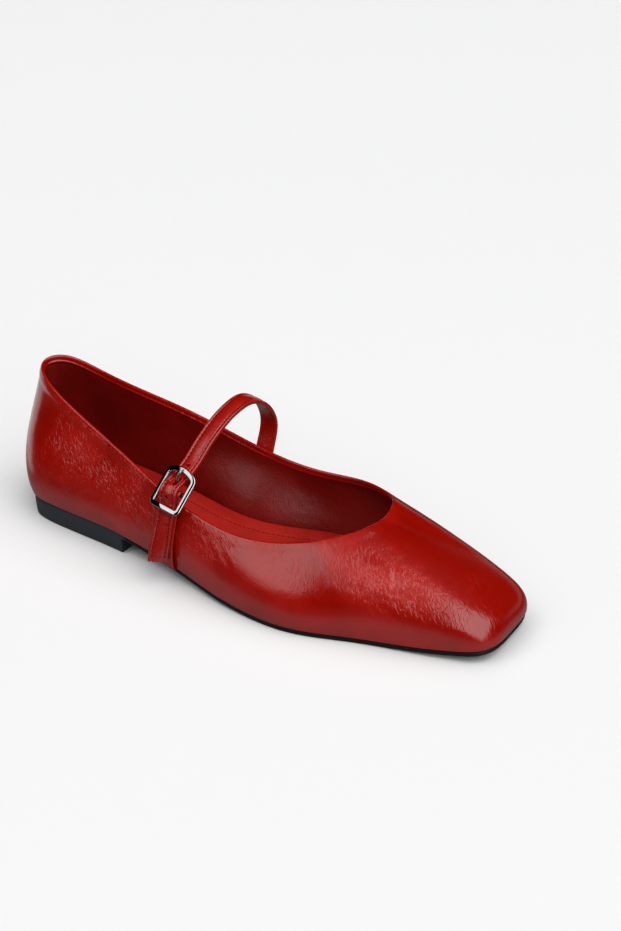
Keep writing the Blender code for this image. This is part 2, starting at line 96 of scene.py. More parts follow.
def set_inputs(node, inputs):
    """Each of these inputs gets its value, or a link from another node's output."""
    for socket, feed in inputs.items():
        if isinstance(feed, bpy.types.NodeSocket):
            node.id_data.links.new(feed, node.inputs[socket])
        else:
            node.inputs[socket].default_value = feed


def add_node(tree, kind, inputs=None, **settings):
    node = tree.nodes.new(kind)
    for setting, value in settings.items():
        setattr(node, setting, value)
    set_inputs(node, inputs or {})
    return node


def calculate(tree, operation, *values, **settings):
    node = add_node(tree, "ShaderNodeMath", dict(enumerate(values)), operation=operation, **settings)
    return node.outputs["Value"]


def ramp(tree, value, start, end, low=0.0, high=1.0, kind="SMOOTHSTEP"):
    """A number that runs from low to high while the value runs from start to end."""
    numbers = {"Value": value, "From Min": start, "From Max": end, "To Min": low, "To Max": high}
    return add_node(tree, "ShaderNodeMapRange", numbers, interpolation_type=kind).outputs["Result"]


def mix_colours(tree, share, first, second):
    colours = {"Factor": share, "A": first, "B": second}
    return add_node(tree, "ShaderNodeMix", colours, data_type="RGBA").outputs["Result"]


def new_material(name):
    """A material, with its node tree and its shader."""
    material = bpy.data.materials.new(name)
    material.use_nodes = True
    return material, material.node_tree, material.node_tree.nodes["Principled BSDF"]


def floor_material():
    """White paper, as with black flags around the shoe: its gloss sees dark beyond a hand's breadth.

    Behind the heel there is no flag, and the paper shines on the back of the upper."""
    material, tree, shader = new_material("floor_paper")
    where = add_node(tree, "ShaderNodeTexCoord").outputs["Object"]
    size, middle = (1 / FLAGS_LONG, 1 / FLAGS_WIDE, 0), (-SHOE_MIDDLE / FLAGS_LONG, 0, 0)
    offset = add_node(tree, "ShaderNodeVectorMath", {0: where, 1: size, 2: middle}, operation="MULTIPLY_ADD")
    reach = add_node(tree, "ShaderNodeVectorMath", {0: offset.outputs["Vector"]}, operation="LENGTH")
    flags = mix_colours(tree, ramp(tree, reach.outputs["Value"], *FLAGS_FADE), FLOOR_NEAR, FLOOR_FAR)
    parts = add_node(tree, "ShaderNodeSeparateXYZ", {"Vector": where}).outputs
    behind = calculate(tree, "MULTIPLY", ramp(tree, parts["X"], *NO_FLAG_ALONG),
                       ramp(tree, parts["Y"], *NO_FLAG_ACROSS))
    mirrored = mix_colours(tree, behind, flags, FLOOR_WHITE)
    ray = add_node(tree, "ShaderNodeLightPath").outputs
    matt = mix_colours(tree, ray["Is Diffuse Ray"], FLOOR_WHITE, FLOOR_BOUNCE)
    set_inputs(shader, {"Base Color": mix_colours(tree, ray["Is Glossy Ray"], matt, mirrored),
                        "Roughness": FLOOR_ROUGHNESS})
    return material


def add_softbox(name, around, up, reach, wide, high, roll, radiance):
    """A flat soft lamp that faces the shoe. around, up and roll: its bearing and how far it is turned;
    wide and high: half of its width and height as the shoe sees them, all in degrees."""
    around, up = radians(around), radians(up)
    bearing = Vector((cos(up) * cos(around), cos(up) * sin(around), sin(up)))
    data = bpy.data.lights.new(name, "AREA")
    data.shape = "RECTANGLE"
    data.size = 2 * reach * tan(radians(wide))
    data.size_y = 2 * reach * tan(radians(high))
    data.energy = radiance * pi * data.size * data.size_y
    lamp = bpy.data.objects.new(name, data)
    bpy.context.scene.collection.objects.link(lamp)
    lamp.location = Vector((SHOE_MIDDLE, 0, LAMPS_AIM_UP)) + reach * bearing
    turn = bearing.to_track_quat("Z", "Y") @ Quaternion((0, 0, 1), radians(roll))
    lamp.rotation_euler = turn.to_euler()
    return lamp


add_camera()
bpy.ops.mesh.primitive_plane_add(size=FLOOR_SIZE)
floor = bpy.context.object
floor.name = "floor"
floor.data.materials.append(floor_material())
bpy.context.scene.view_settings.view_transform = "Standard"
world = bpy.data.worlds.new("studio")
bpy.context.scene.world = world
world.use_nodes = True
set_inputs(world.node_tree.nodes["Background"], {"Color": (1, 1, 1, 1), "Strength": WORLD_STRENGTH})
world.cycles_visibility.glossy = False
add_softbox("side_softbox", around=-123, up=44, reach=36, wide=15.5, high=26, roll=26, radiance=1.3)
add_softbox("toe_softbox", around=-19, up=44, reach=30, wide=30, high=38.8, roll=-43, radiance=1.68)
add_softbox("back_card", around=80, up=5, reach=27, wide=26, high=4.5, roll=0, radiance=0.25)
silk = add_softbox("overhead_silk", around=90, up=89, reach=36, wide=42, high=42, roll=0, radiance=1.1)
silk.visible_glossy = False


# ---------------------------------------------------------------- upper
# Two layers of leather lasted over the foot's shape: waxed red leather outside and red lining inside,
# cemented together, with the outer leather folded over the topline. The sections are the last's own.

LENGTH = 0.252             # in metres, as all sizes are that don't say otherwise
BALL_WIDTH = 0.081
BACK_RISE = 0.055          # from the outsole to the topline at the back
HEEL_LIFT = 7.8 * MM
TOE_SPRING = 4.0 * MM
SOLE_THICKNESS = 2.3 * MM
WALL = 2.0 * MM
HEEL_REST = 0.040          # the origin, from the heel's back
HEEL_SEAT_END = 0.245      # shares of the length: the sole slopes down from here
BALL_START = 0.665         # to here, lies flat
BALL_END = 0.775           # to here, and rises to the toe

# The sections around the shoe. The foot and the topline: shares of the length along it, of the ball's
# width across it, and of the back's rise above the outsole. Then how the section leaves the foot and
# meets the topline: the angle, in degrees, and how strongly it holds to it, as a share of the rise.
Row = namedtuple("Row", "name foot_along foot_across top_along top_across rise lean low fall high")
ROWS = [
    Row("heel back", 0.016, 0.024, 0.032, 0.017, 1.021, 16, 0.34, 79, 0.38),
    Row("heel turn out", 0.066, -0.237, 0.081, -0.127, 0.951, 26, 0.39, 77, 0.38),
    Row("heel side out", 0.104, -0.324, 0.156, -0.194, 0.849, 22, 0.34, 75, 0.34),
    Row("waist back out", 0.282, -0.363, 0.308, -0.278, 0.634, 14, 0.25, 76, 0.25),
    Row("waist out", 0.437, -0.424, 0.417, -0.360, 0.544, 14, 0.21, 73, 0.20),
    Row("joint out", 0.565, -0.499, 0.557, -0.410, 0.518, 13, 0.20, 59, 0.20),
    Row("ball out", 0.680, -0.508, 0.649, -0.320, 0.558, 11, 0.23, 41, 0.27),
    Row("forepart out", 0.806, -0.376, 0.707, -0.220, 0.620, 8, 0.24, 30, 0.42),
    Row("toe side out", 0.928, -0.274, 0.745, -0.118, 0.667, 6, 0.23, 29, 0.64),
    Row("toe corner out", 0.994, -0.194, 0.757, -0.044, 0.691, 4, 0.24, 20, 0.83),
    Row("toe front", 1.008, 0.069, 0.759, 0.047, 0.681, 8, 0.24, 18, 0.91),
    Row("toe corner in", 0.989, 0.318, 0.752, 0.147, 0.663, 11, 0.23, 22, 0.85),
    Row("toe side in", 0.946, 0.386, 0.745, 0.225, 0.682, 7, 0.22, 23, 0.64),
    Row("forepart in", 0.842, 0.447, 0.725, 0.311, 0.656, 8, 0.23, 38, 0.40),
    Row("ball in", 0.720, 0.480, 0.645, 0.436, 0.603, 10, 0.23, 45, 0.27),
    Row("joint in", 0.610, 0.448, 0.554, 0.410, 0.547, 13, 0.23, 61, 0.22),
    Row("waist in", 0.450, 0.235, 0.426, 0.382, 0.563, 15, 0.25, 74, 0.24),
    Row("waist back in", 0.293, 0.272, 0.309, 0.329, 0.688, 14, 0.28, 77, 0.28),
    Row("heel side in", 0.124, 0.316, 0.151, 0.216, 0.874, 13, 0.31, 78, 0.33),
    Row("heel turn in", 0.050, 0.189, 0.068, 0.143, 1.038, 14, 0.33, 78, 0.37),
]
STEPS_PER_ROW = 24
LEVELS = 72


def curve_between(before, start, end, after, gaps, share):
    g0, g1, g2 = gaps
    leave = g1 * ((start - before) / g0 - (end - before) / (g0 + g1) + (end - start) / g1)
    arrive = g1 * ((end - start) / g1 - (after - start) / (g1 + g2) + (after - end) / g2)
    s2, s3 = share ** 2, share ** 3
    return ((2 * s3 - 3 * s2 + 1) * start + (s3 - 2 * s2 + share) * leave
            + (3 * s2 - 2 * s3) * end + (s3 - s2) * arrive)


def closed_curve(rows, steps):
    """Rows of numbers, filled in smoothly all the way round; the first two columns are the plan."""
    count = len(rows)
    gaps = np.sqrt(np.linalg.norm((np.roll(rows, -1, axis=0) - rows)[:, :2], axis=1))
    filled = []
    for i in range(count):
        before, start, end, after = (rows[(i + k) % count] for k in (-1, 0, 1, 2))
        near = (gaps[i - 1], gaps[i], gaps[(i + 1) % count])
        filled += [curve_between(before, start, end, after, near, k / steps) for k in range(steps)]
    return np.array(filled)


def open_curve(points, steps):
    ends = np.vstack([2 * points[0] - points[1], points, 2 * points[-1] - points[-2]])
    gaps = np.sqrt(np.linalg.norm(np.diff(ends[:, :3], axis=0), axis=1))
    filled = []
    for i in range(1, len(ends) - 2):
        filled += [curve_between(*ends[i - 1:i + 3], gaps[i - 1:i + 2], k / steps) for k in range(steps)]
    return np.array(filled + [points[-1]])


def soften(values, reach):
    """Running average around the shoe, so that the shine runs on without kinks."""
    width = np.exp(-0.5 * (np.arange(-3 * reach, 3 * reach + 1) / reach) ** 2)
    width /= width.sum()
    return sum(w * np.roll(values, k - 3 * reach, axis=0) for k, w in enumerate(width))


def sole_lift(x):
    share = (x + HEEL_REST) / LENGTH
    slope = np.clip((share - HEEL_SEAT_END) / (BALL_START - HEEL_SEAT_END), 0, 1)
    toe = np.clip((share - BALL_END) / (1 - BALL_END), 0, None)
    return HEEL_LIFT * (1 - 3 * slope ** 2 + 2 * slope ** 3) + TOE_SPRING * toe ** 2


def outward(ring):
    along = np.roll(ring, -1, axis=0) - np.roll(ring, 1, axis=0)
    normal = np.column_stack([along[:, 1], -along[:, 0], np.zeros(len(ring))])
    return normal / np.linalg.norm(normal, axis=1, keepdims=True)


def sections():
    table = closed_curve(np.array([row[1:] for row in ROWS], float), STEPS_PER_ROW)
    table[:, :2] = soften(table[:, :2], 4)
    table[:, 2:] = soften(table[:, 2:], 9)
    foot_along, foot_across, top_along, top_across, rise, lean, low, fall, high = table.T
    foot_x = foot_along * LENGTH - HEEL_REST
    top_x = top_along * LENGTH - HEEL_REST
    foot = np.column_stack([foot_x, foot_across * BALL_WIDTH, sole_lift(foot_x) + SOLE_THICKNESS])
    top = np.column_stack([top_x, top_across * BALL_WIDTH,
                           sole_lift(top_x) + SOLE_THICKNESS + rise * BACK_RISE])
    return foot, top, np.radians(lean), low * BACK_RISE, np.radians(fall), high * BACK_RISE


def upper_surface(levels):
    foot, top, *column = sections()
    lean, low, fall, high = (values[:, None] for values in column)
    up = np.array([0, 0, 1])
    lower = foot + low * (np.sin(lean) * outward(foot) + np.cos(lean) * up)
    upper = top + high * (np.cos(fall) * outward(top) - np.sin(fall) * up)
    t = np.linspace(0, 1, levels)[None, :, None]
    foot, lower, upper, top = (points[:, None, :] for points in (foot, lower, upper, top))
    return (1 - t) ** 3 * foot + 3 * (1 - t) ** 2 * t * lower + 3 * (1 - t) * t ** 2 * upper + t ** 3 * top


def grid_normals(grid):
    around = np.roll(grid, -1, axis=0) - np.roll(grid, 1, axis=0)
    rise = np.gradient(grid, axis=1)
    normal = np.cross(around, rise)
    return normal / np.linalg.norm(normal, axis=2, keepdims=True)


def even_levels(grid, stop_short):
    """The same sections with evenly spaced levels, ending stop_short below the topline."""
    even = np.empty((len(grid), LEVELS, 3))
    for i, line in enumerate(grid):
        reach = lengths_along(line)
        wanted = np.linspace(0, reach[-1] - stop_short, LEVELS)
        even[i] = np.column_stack([np.interp(wanted, reach, line[:, k]) for k in range(3)])
    return even


def add_piece(name, mesh, material, node=None):
    """A finished piece, in the shoe's one body. node: the plain solid that it is shown in place of."""
    mesh.shade_smooth()
    if material:
        mesh.materials.append(material)
    piece = bpy.data.objects.new(name, mesh)
    bpy.context.scene.collection.objects.link(piece)
    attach(piece, "root")
    if node:
        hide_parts(node)
    return piece


def new_mesh(name, points, faces):
    mesh = bpy.data.meshes.new(name)
    mesh.from_pydata([tuple(point) for point in points], [], faces)
    return mesh


def leather_piece(name, points, faces, uv, material, node):
    mesh = new_mesh(name, points, faces)
    corners = np.array([corner for face in uv for corner in face], float)
    mesh.uv_layers.new(name="leather").data.foreach_set("uv", corners.ravel())
    return add_piece(name, mesh, material, node)


def lengths_along(line):
    """How far each point of a line is from its start, measured along it."""
    return np.concatenate([[0], np.cumsum(np.linalg.norm(np.diff(line, axis=0), axis=1))])


def sleeve_faces(rings, around, closed=False):
    """Faces between rings of points, each ring closed on itself. closed: the last ring meets the first."""
    faces = []
    for k in range(rings if closed else rings - 1):
        here, there = k * around, (k + 1) % rings * around
        for i in range(around):
            ahead = (i + 1) % around
            faces.append((here + i, there + i, there + ahead, here + ahead))
    return faces


def band_uv(grid):
    """Leather coordinates in metres: around the shoe, and up its own section."""
    closed = np.concatenate([grid, grid[:1]])
    across = lengths_along(closed[:, grid.shape[1] // 3])
    climb = np.array([lengths_along(np.vstack([section, section[:1]])) for section in closed])
    return [((across[i], climb[i, j]), (across[i + 1], climb[i + 1, j]),
             (across[i + 1], climb[i + 1, j + 1]), (across[i], climb[i, j + 1]))
            for i in range(len(grid)) for j in range(grid.shape[1])]


# How the leather turns over the topline: into the wall and above it, in millimetres.
FOLD = [(0.0, -0.8), (0.06, -0.42), (0.28, -0.1), (0.62, 0.04), (0.98, -0.02), (1.3, -0.32), (1.46, -0.8),
        (1.54, -1.3), (1.6, -1.8), (1.7, -2.15), (1.94, -2.34), (2.14, -2.6), (2.12, -2.95), (1.9, -3.1)]
FOLD_START = 1.2 * MM
LAYER = 1.0 * MM           # each layer of leather
MARGIN = 3.0 * MM          # how far the leather turns in under the foot

base = even_levels(upper_surface(LEVELS * 2), FOLD_START)
normal = grid_normals(base)
topline = upper_surface(LEVELS)[:, -1]
top_normal = soften(normal[:, -1], 2)
top_normal /= np.linalg.norm(top_normal, axis=1, keepdims=True)
top_rise = topline - base[:, -1]
top_rise -= (top_rise * top_normal).sum(axis=1, keepdims=True) * top_normal
top_rise /= np.linalg.norm(top_rise, axis=1, keepdims=True)
fold = np.stack([topline - top_normal * a * MM + top_rise * h * MM for a, h in FOLD], axis=1)


def near_line(points, line):
    """For each point: its distance to a line of points, and how far along the line it is, 0 to 1."""
    best = np.full(points.shape[:-1], np.inf)
    share = np.zeros(points.shape[:-1])
    for k, (start, end) in enumerate(zip(line[:-1], line[1:])):
        step = end - start
        t = np.clip(((points - start) @ step) / (step @ step), 0, 1)
        apart = np.linalg.norm(points - start - t[..., None] * step, axis=-1)
        share = np.where(apart < best, (k + t) / (len(line) - 1), share)
        best = np.minimum(best, apart)
    return best, share


def bell(apart, width):
    return np.exp(-(apart / width) ** 2)


# The creases that walking and lasting leave: their width and depth, and where they run, in millimetres.
# Each is a soft trough with a lower ridge on both sides.
Crease = namedtuple("Crease", "width depth line")
CREASE_RIDGE = 0.35        # share of the trough's depth
RIDGE_BESIDE = 1.7         # widths from the trough
CREASES = [
    Crease(1.6, 0.20, [(128, -39, 33), (131, -41, 25), (133, -41, 17)]),
    Crease(1.5, 0.20, [(137, -35, 35), (140, -38, 27), (141, -39, 20)]),
    Crease(1.5, 0.20, [(146, -30, 35), (149, -33, 28), (151, -34, 22)]),
    Crease(1.4, 0.25, [(157, -22, 34), (160, -26, 29), (161, -28, 23)]),
    Crease(1.5, 0.30, [(168, -14, 32), (172, -19, 27), (173, -22, 22)]),
    Crease(1.4, 0.25, [(183, -10, 27), (186, -14, 23)]),
    Crease(1.4, 0.30, [(76, -34, 36), (84, -37, 27), (90, -38, 20)]),
    Crease(1.4, 0.30, [(82, -34, 35), (90, -37, 26), (97, -39, 19)]),
    Crease(1.5, 0.30, [(90, -35, 33), (98, -38, 25), (104, -40, 19)]),
    Crease(1.8, 0.35, [(6, -26, 44), (13, -29, 34), (19, -30, 24)]),
    Crease(1.6, 0.30, [(20, -27, 41), (27, -29, 32), (33, -31, 23)]),
    Crease(1.6, 0.30, [(34, -28, 37), (41, -30, 29), (47, -32, 21)]),
    Crease(1.5, 0.25, [(46, -29, 33), (51, -31, 27), (55, -32, 21)]),
    Crease(1.6, 0.30, [(140, 37, 30), (143, 38, 22), (144, 38, 15)]),
    Crease(1.6, 0.30, [(152, 34, 29), (156, 36, 21), (157, 36, 14)]),
    Crease(1.6, 0.30, [(30, 27, 40), (37, 29, 31), (42, 30, 22)]),
]
dent = np.zeros(base.shape[:2])
for crease in CREASES:
    apart, share = near_line(base, np.array(crease.line, float) * MM)
    fade = np.clip(4 * share * (1 - share), 0, 1)
    ridge = CREASE_RIDGE * bell(apart / MM - RIDGE_BESIDE * crease.width, crease.width)
    dent += crease.depth * fade * (ridge - bell(apart / MM, crease.width))

# The stiffened band around the collar stands a little proud, most of all at the heel: a low ridge, and
# under it a faint trough, each with its height, its width and how far below the topline it runs, in
# millimetres.
Band = namedtuple("Band", "height width below")
COLLAR_RIDGE = Band(0.24, 1.2, 2.9)
COLLAR_TROUGH = Band(0.04, 1.4, 5.6)
COLLAR_FADE = (0.110, 0.020)    # along the shoe: faint in front of the first, full behind the second
COLLAR_FAINT = 0.25
climb = np.array([lengths_along(section) for section in base])
below = (climb[:, -1:] - climb + FOLD_START) / MM
back = (COLLAR_FADE[0] - topline[:, 0]) / (COLLAR_FADE[0] - COLLAR_FADE[1])
strength = np.clip(back, COLLAR_FAINT, 1)[:, None]
ridge, trough = (band.height * bell(below - band.below, band.width) for band in (COLLAR_RIDGE, COLLAR_TROUGH))
dent += strength * (ridge - trough)
base = base + normal * dent[:, :, None] * MM
foot_ring = base[:, 0]
foot_turn = np.stack([foot_ring - outward(foot_ring) * MARGIN + (0, 0, 0.1 * MM),
                      foot_ring - outward(foot_ring) * 0.8 * MM,
                      foot_ring - outward(foot_ring) * 0.15 * MM + (0, 0, 0.15 * MM)], axis=1)
hidden = (base - LAYER * normal)[:, ::-6]
outer = np.concatenate([foot_turn, base[:, 1:], fold, hidden], axis=1)

# The crinkles are folds drawn out along the hide, with cracks between them, and they come in patches.
FOLDS_PER_METRE = 1100     # these seven are the scales of its noises
CRACKS_PER_METRE = 900
PATCHES_PER_METRE = 90
GRAIN_PER_METRE = 1400
SWELLS_PER_METRE = 190
CLOUDS_PER_METRE = 38
SWAYS_PER_METRE = 210
SWAY = 1.6 * MM            # how far a crinkle wanders from its line
CRINKLE_LONG = 1 / 0.22    # times its width
FOLD_SHARE = 0.9           # shares of the relief
CRACK_SHARE = 0.3
GRAIN_SHARE = 0.20
SWELL_SHARE = 0.45
# How much lighter the crinkles' tops are painted: partly wax rubbed thin, partly a painted highlight.
WORN_AND_SHEEN_SHARE = 0.35


def noise(tree, where, scale, detail=2):
    return add_node(tree, "ShaderNodeTexNoise", {"Vector": where, "Scale": scale, "Detail": detail}).outputs


def bumps(tree, height, depth):
    return add_node(tree, "ShaderNodeBump", {"Height": height, "Distance": depth}).outputs["Normal"]


def leather_group():
    """Crinkles and grain of waxed leather, from coordinates in metres along and up the hide.

    Height is the relief, Worn and Sheen the crinkles' tops, painted lighter as partly rubbed wax and partly a
    painted highlight, and Shade the dye's slow clouds."""
    group = bpy.data.node_groups.new("waxed_leather_surface", "ShaderNodeTree")
    sockets = (("Vector", "INPUT", "Vector"), ("Crinkle", "INPUT", "Float"), ("Slant", "INPUT", "Float"),
               ("Height", "OUTPUT", "Float"), ("Worn and Sheen", "OUTPUT", "Float"), ("Shade", "OUTPUT", "Float"))
    for name, side, kind in sockets:
        group.interface.new_socket(name, in_out=side, socket_type="NodeSocket" + kind)
    start = add_node(group, "NodeGroupInput").outputs
    hide = start["Vector"]
    turned = add_node(group, "ShaderNodeVectorRotate", {"Vector": hide, "Angle": start["Slant"]},
                      rotation_type="Z_AXIS").outputs["Vector"]
    sway = noise(group, turned, SWAYS_PER_METRE)["Color"]
    swayed = add_node(group, "ShaderNodeVectorMath", {0: sway, 1: (SWAY, SWAY, 0), 2: turned},
                      operation="MULTIPLY_ADD").outputs["Vector"]
    drawn_out = add_node(group, "ShaderNodeVectorMath", {0: swayed, 1: (1, 1 / CRINKLE_LONG, 1)},
                         operation="MULTIPLY").outputs["Vector"]
    folds = ramp(group, noise(group, drawn_out, FOLDS_PER_METRE, 1)["Fac"], 0.50, 0.68)
    cells = add_node(group, "ShaderNodeTexVoronoi", {"Vector": drawn_out, "Scale": CRACKS_PER_METRE},
                     voronoi_dimensions="2D", feature="DISTANCE_TO_EDGE")
    cracks = ramp(group, cells.outputs["Distance"], 0.0, 0.22)
    both = calculate(group, "ADD", calculate(group, "MULTIPLY", folds, FOLD_SHARE),
                     calculate(group, "MULTIPLY", cracks, CRACK_SHARE))
    patch = ramp(group, noise(group, hide, PATCHES_PER_METRE, 3)["Fac"], 0.38, 0.60, low=0.35)
    relief = calculate(group, "MULTIPLY", both, calculate(group, "MULTIPLY", start["Crinkle"], patch))
    grain = noise(group, hide, GRAIN_PER_METRE, 3)["Fac"]
    swell = noise(group, hide, SWELLS_PER_METRE)["Fac"]
    height = calculate(group, "MULTIPLY_ADD", grain, GRAIN_SHARE, relief)
    add_node(group, "NodeGroupOutput", {
        "Height": calculate(group, "MULTIPLY_ADD", swell, SWELL_SHARE, height),
        "Worn and Sheen": calculate(group, "MULTIPLY", relief, WORN_AND_SHEEN_SHARE),
        "Shade": ramp(group, noise(group, hide, CLOUDS_PER_METRE, 5)["Fac"], 0.3, 0.7)})
    return group


LEATHER_SURFACE = leather_group()
LEATHER_IOR = 1.5


def leather_material(name, deep, bright, roughness, crinkles, relief=0.12 * MM, gloss=0.88, unrolled=True):
    """Waxed leather. crinkles: pairs of an amount, or the name of its attribute, and a slant.

    unrolled: the piece has its leather coordinates; otherwise it lies flat, and its place will do."""
    material, tree, shader = new_material(name)
    if unrolled:
        hide = add_node(tree, "ShaderNodeUVMap", uv_map="leather").outputs["UV"]
    else:
        hide = add_node(tree, "ShaderNodeTexCoord").outputs["Object"]
    surfaces = []
    for amount, slant in crinkles:
        if isinstance(amount, str):
            amount = add_node(tree, "ShaderNodeAttribute", attribute_name=amount).outputs["Fac"]
        inputs = {"Vector": hide, "Crinkle": amount, "Slant": slant}
        surfaces.append(add_node(tree, "ShaderNodeGroup", inputs, node_tree=LEATHER_SURFACE).outputs)
    height, worn_and_sheen, shade = (surfaces[0][output] for output in ("Height", "Worn and Sheen", "Shade"))
    for surface in surfaces[1:]:
        height = calculate(tree, "ADD", height, surface["Height"])
        worn_and_sheen = calculate(tree, "ADD", worn_and_sheen, surface["Worn and Sheen"])
    # Where a piece carries the darkening attribute, its colour is drawn towards the deep red.
    darkening = add_node(tree, "ShaderNodeAttribute", attribute_name="darkening").outputs["Fac"]
    dye = mix_colours(tree, calculate(tree, "SUBTRACT", shade, darkening, use_clamp=True), deep, bright)
    # The crinkles' tops are painted a lighter red, partly wax rubbed thin and partly a painted highlight that
    # stays the same under any lamp.
    rubbed_and_sheen = [channel * 1.5 + 0.008 for channel in bright[:3]] + [1]
    dull = ramp(tree, shade, 0, 1, roughness - 0.04, roughness + 0.05, kind="LINEAR")
    set_inputs(shader, {"Base Color": mix_colours(tree, worn_and_sheen, dye, rubbed_and_sheen), "Roughness": dull,
                        "IOR": LEATHER_IOR, "Specular IOR Level": gloss,
                        "Normal": bumps(tree, height, relief)})
    return material


DEEP_RED = (0.265, 0.0030, 0.0006, 1)
BRIGHT_RED = (0.385, 0.0046, 0.0008, 1)
leather = leather_material("waxed_red_leather", DEEP_RED, BRIGHT_RED, 0.18,
                           (("crinkle_upright", 0.35), ("crinkle_slanting", -0.80)))
upper_outer = leather_piece("upper_outer", outer.reshape(-1, 3), sleeve_faces(*outer.shape[:2], closed=True),
                            band_uv(outer), leather, "upper")


def paint(piece, name, values):
    piece.data.attributes.new(name, "FLOAT", "POINT").data.foreach_set("value", values)


def soft_spot(points, middle, reach):
    """1 at the middle, falling softly to 0 at the reach, in millimetres."""
    apart = (points - np.array(middle) * MM) / (np.array(reach) * MM)
    return np.clip(1 - (apart ** 2).sum(axis=-1), 0, 1)


places = outer.reshape(-1, 3)
CrinkleSpot = namedtuple("CrinkleSpot", "kind middle reach amount")
CRINKLE_SPOTS = [
    CrinkleSpot("upright", (165, -20, 27), (24, 17, 15), 1.0),
    CrinkleSpot("upright", (183, -18, 22), (26, 15, 14), 0.8),
    CrinkleSpot("upright", (202, -10, 18), (20, 16, 12), 0.45),
    CrinkleSpot("upright", (198, 5, 25), (8, 8, 6), 0.8),
    CrinkleSpot("upright", (130, -37, 28), (20, 10, 13), 0.3),
    CrinkleSpot("upright", (152, 30, 26), (34, 14, 14), 0.8),
    CrinkleSpot("slanting", (14, -25, 40), (38, 18, 28), 0.7),
    CrinkleSpot("slanting", (50, -29, 32), (32, 13, 20), 0.9),
    CrinkleSpot("slanting", (88, -35, 27), (20, 9, 11), 0.9),
    CrinkleSpot("slanting", (36, 26, 38), (34, 9, 17), 0.8),
    CrinkleSpot("slanting", (112, 36, 24), (22, 10, 12), 0.6),
]
CRINKLE_EVERYWHERE = 0.07

# The collar's band has puckers too, on the outer side behind the strap.
COLLAR_PUCKERS = Band(0.5, 2.2, 2.8)
PUCKERS_END = 0.085
collar = np.zeros(outer.shape[:2])
side = np.clip(-topline[:, 1] / (8 * MM), 0, 1) * np.clip((PUCKERS_END - topline[:, 0]) / (20 * MM), 0, 1)
puckers = COLLAR_PUCKERS.height * bell(below - COLLAR_PUCKERS.below, COLLAR_PUCKERS.width)
collar[:, 3:2 + LEVELS] = (side[:, None] * puckers)[:, 1:]
for kind in ("upright", "slanting"):
    crinkle = np.full(len(places), CRINKLE_EVERYWHERE) + (collar.ravel() if kind == "upright" else 0)
    for spot in CRINKLE_SPOTS:
        if spot.kind == kind:
            crinkle += spot.amount * soft_spot(places, spot.middle, spot.reach)
    paint(upper_outer, "crinkle_" + kind, np.clip(crinkle, 0, 1))

# The toe and the inner side of the vamp are made darker in colour: how much, where and how far around.
DARKENED_SPOTS = [(1.6, (196, 16, 26), (50, 34, 26)), (1.2, (150, 34, 30), (50, 20, 22))]
darkening = sum(amount * soft_spot(places, middle, reach) for amount, middle, reach in DARKENED_SPOTS)
paint(upper_outer, "darkening", np.clip(darkening, 0, 1))

DEEP_LINING = (0.145, 0.0022, 0.0008, 1)
BRIGHT_LINING = (0.205, 0.0034, 0.0012, 1)
lining_leather = leather_material("lining_leather", DEEP_LINING, BRIGHT_LINING, 0.38, ((0.05, 0.0),),
                                  relief=0.5 * MM, gloss=0.6)
inner_face = (base - 2 * LAYER * normal)[:, ::-1]
LINING_EDGE = [(1.2, -2.2), (1.5, -2.4), (1.8, -2.8), (1.98, -3.4)]  # into the wall and above it, as FOLD
LINING_START = 3           # levels that the folded leather covers
lining_top = np.stack([topline - top_normal * a * MM + top_rise * h * MM for a, h in LINING_EDGE], axis=1)
between = (base - 1.15 * LAYER * normal)[:, ::6][:, :-1]
lining = np.concatenate([lining_top, inner_face[:, LINING_START:], between], axis=1)
leather_piece("upper_lining", lining.reshape(-1, 3), sleeve_faces(*lining.shape[:2], closed=True),
              band_uv(lining), lining_leather, "upper")


# ---------------------------------------------------------------- outsole and heel
# A thin sheet of black rubber cemented under the lasted upper, its edge rounded at the bottom, and a
# low block heel with a straight front face. Both are ground flush at the heel and polished to a satin.

HEEL_BREAST = 0.305        # of the shoe's length
BREAST = LENGTH * HEEL_BREAST - HEEL_REST
LANES = 14                 # faces across a plate
# In front of the breast the rubber is painted blacker than the heel's: painted shade under the upper's
# overhang.
SHADED_SOLE_BLACK = (0.004, 0.004, 0.005, 1)
HEEL_BLACK = (0.022, 0.027, 0.034, 1)
HEEL_DUST = (0.034, 0.040, 0.048, 1)


def rubber_material():
    """Satin black rubber, painted blacker in front of the breast as painted shade under the upper's overhang,
    and a little greyer and dusty on the heel.
    """
    material, tree, shader = new_material("black_rubber")
    where = add_node(tree, "ShaderNodeTexCoord").outputs["Object"]
    along = add_node(tree, "ShaderNodeSeparateXYZ", {"Vector": where}).outputs["X"]
    # 0 on the heel, 1 in front of the breast, where the painted shade blackens the rubber.
    front = ramp(tree, along, BREAST + 0.5 * MM, BREAST + 3 * MM, kind="LINEAR")
    dust = noise(tree, where, 60, 6)["Fac"]
    heel = mix_colours(tree, dust, HEEL_BLACK, HEEL_DUST)
    set_inputs(shader, {"Base Color": mix_colours(tree, front, heel, SHADED_SOLE_BLACK), "Specular IOR Level": 0.3,
                        "Roughness": ramp(tree, dust, 0, 1, 0.38, 0.5, kind="LINEAR"),
                        "Normal": bumps(tree, noise(tree, where, 800)["Fac"], 0.04 * MM)})
    return material


def outward_mesh(name, points, faces):
    """A closed mesh with all its faces turned outwards."""
    mesh = new_mesh(name, points, faces)
    body = bmesh.new()
    body.from_mesh(mesh)
    bmesh.ops.recalc_face_normals(body, faces=body.faces)
    body.to_mesh(mesh)
    body.free()
    return mesh


def end_faces(rings, around):
    """The two faces that close a sleeve."""
    return [tuple(range(around)), tuple(reversed(range((rings - 1) * around, rings * around)))]


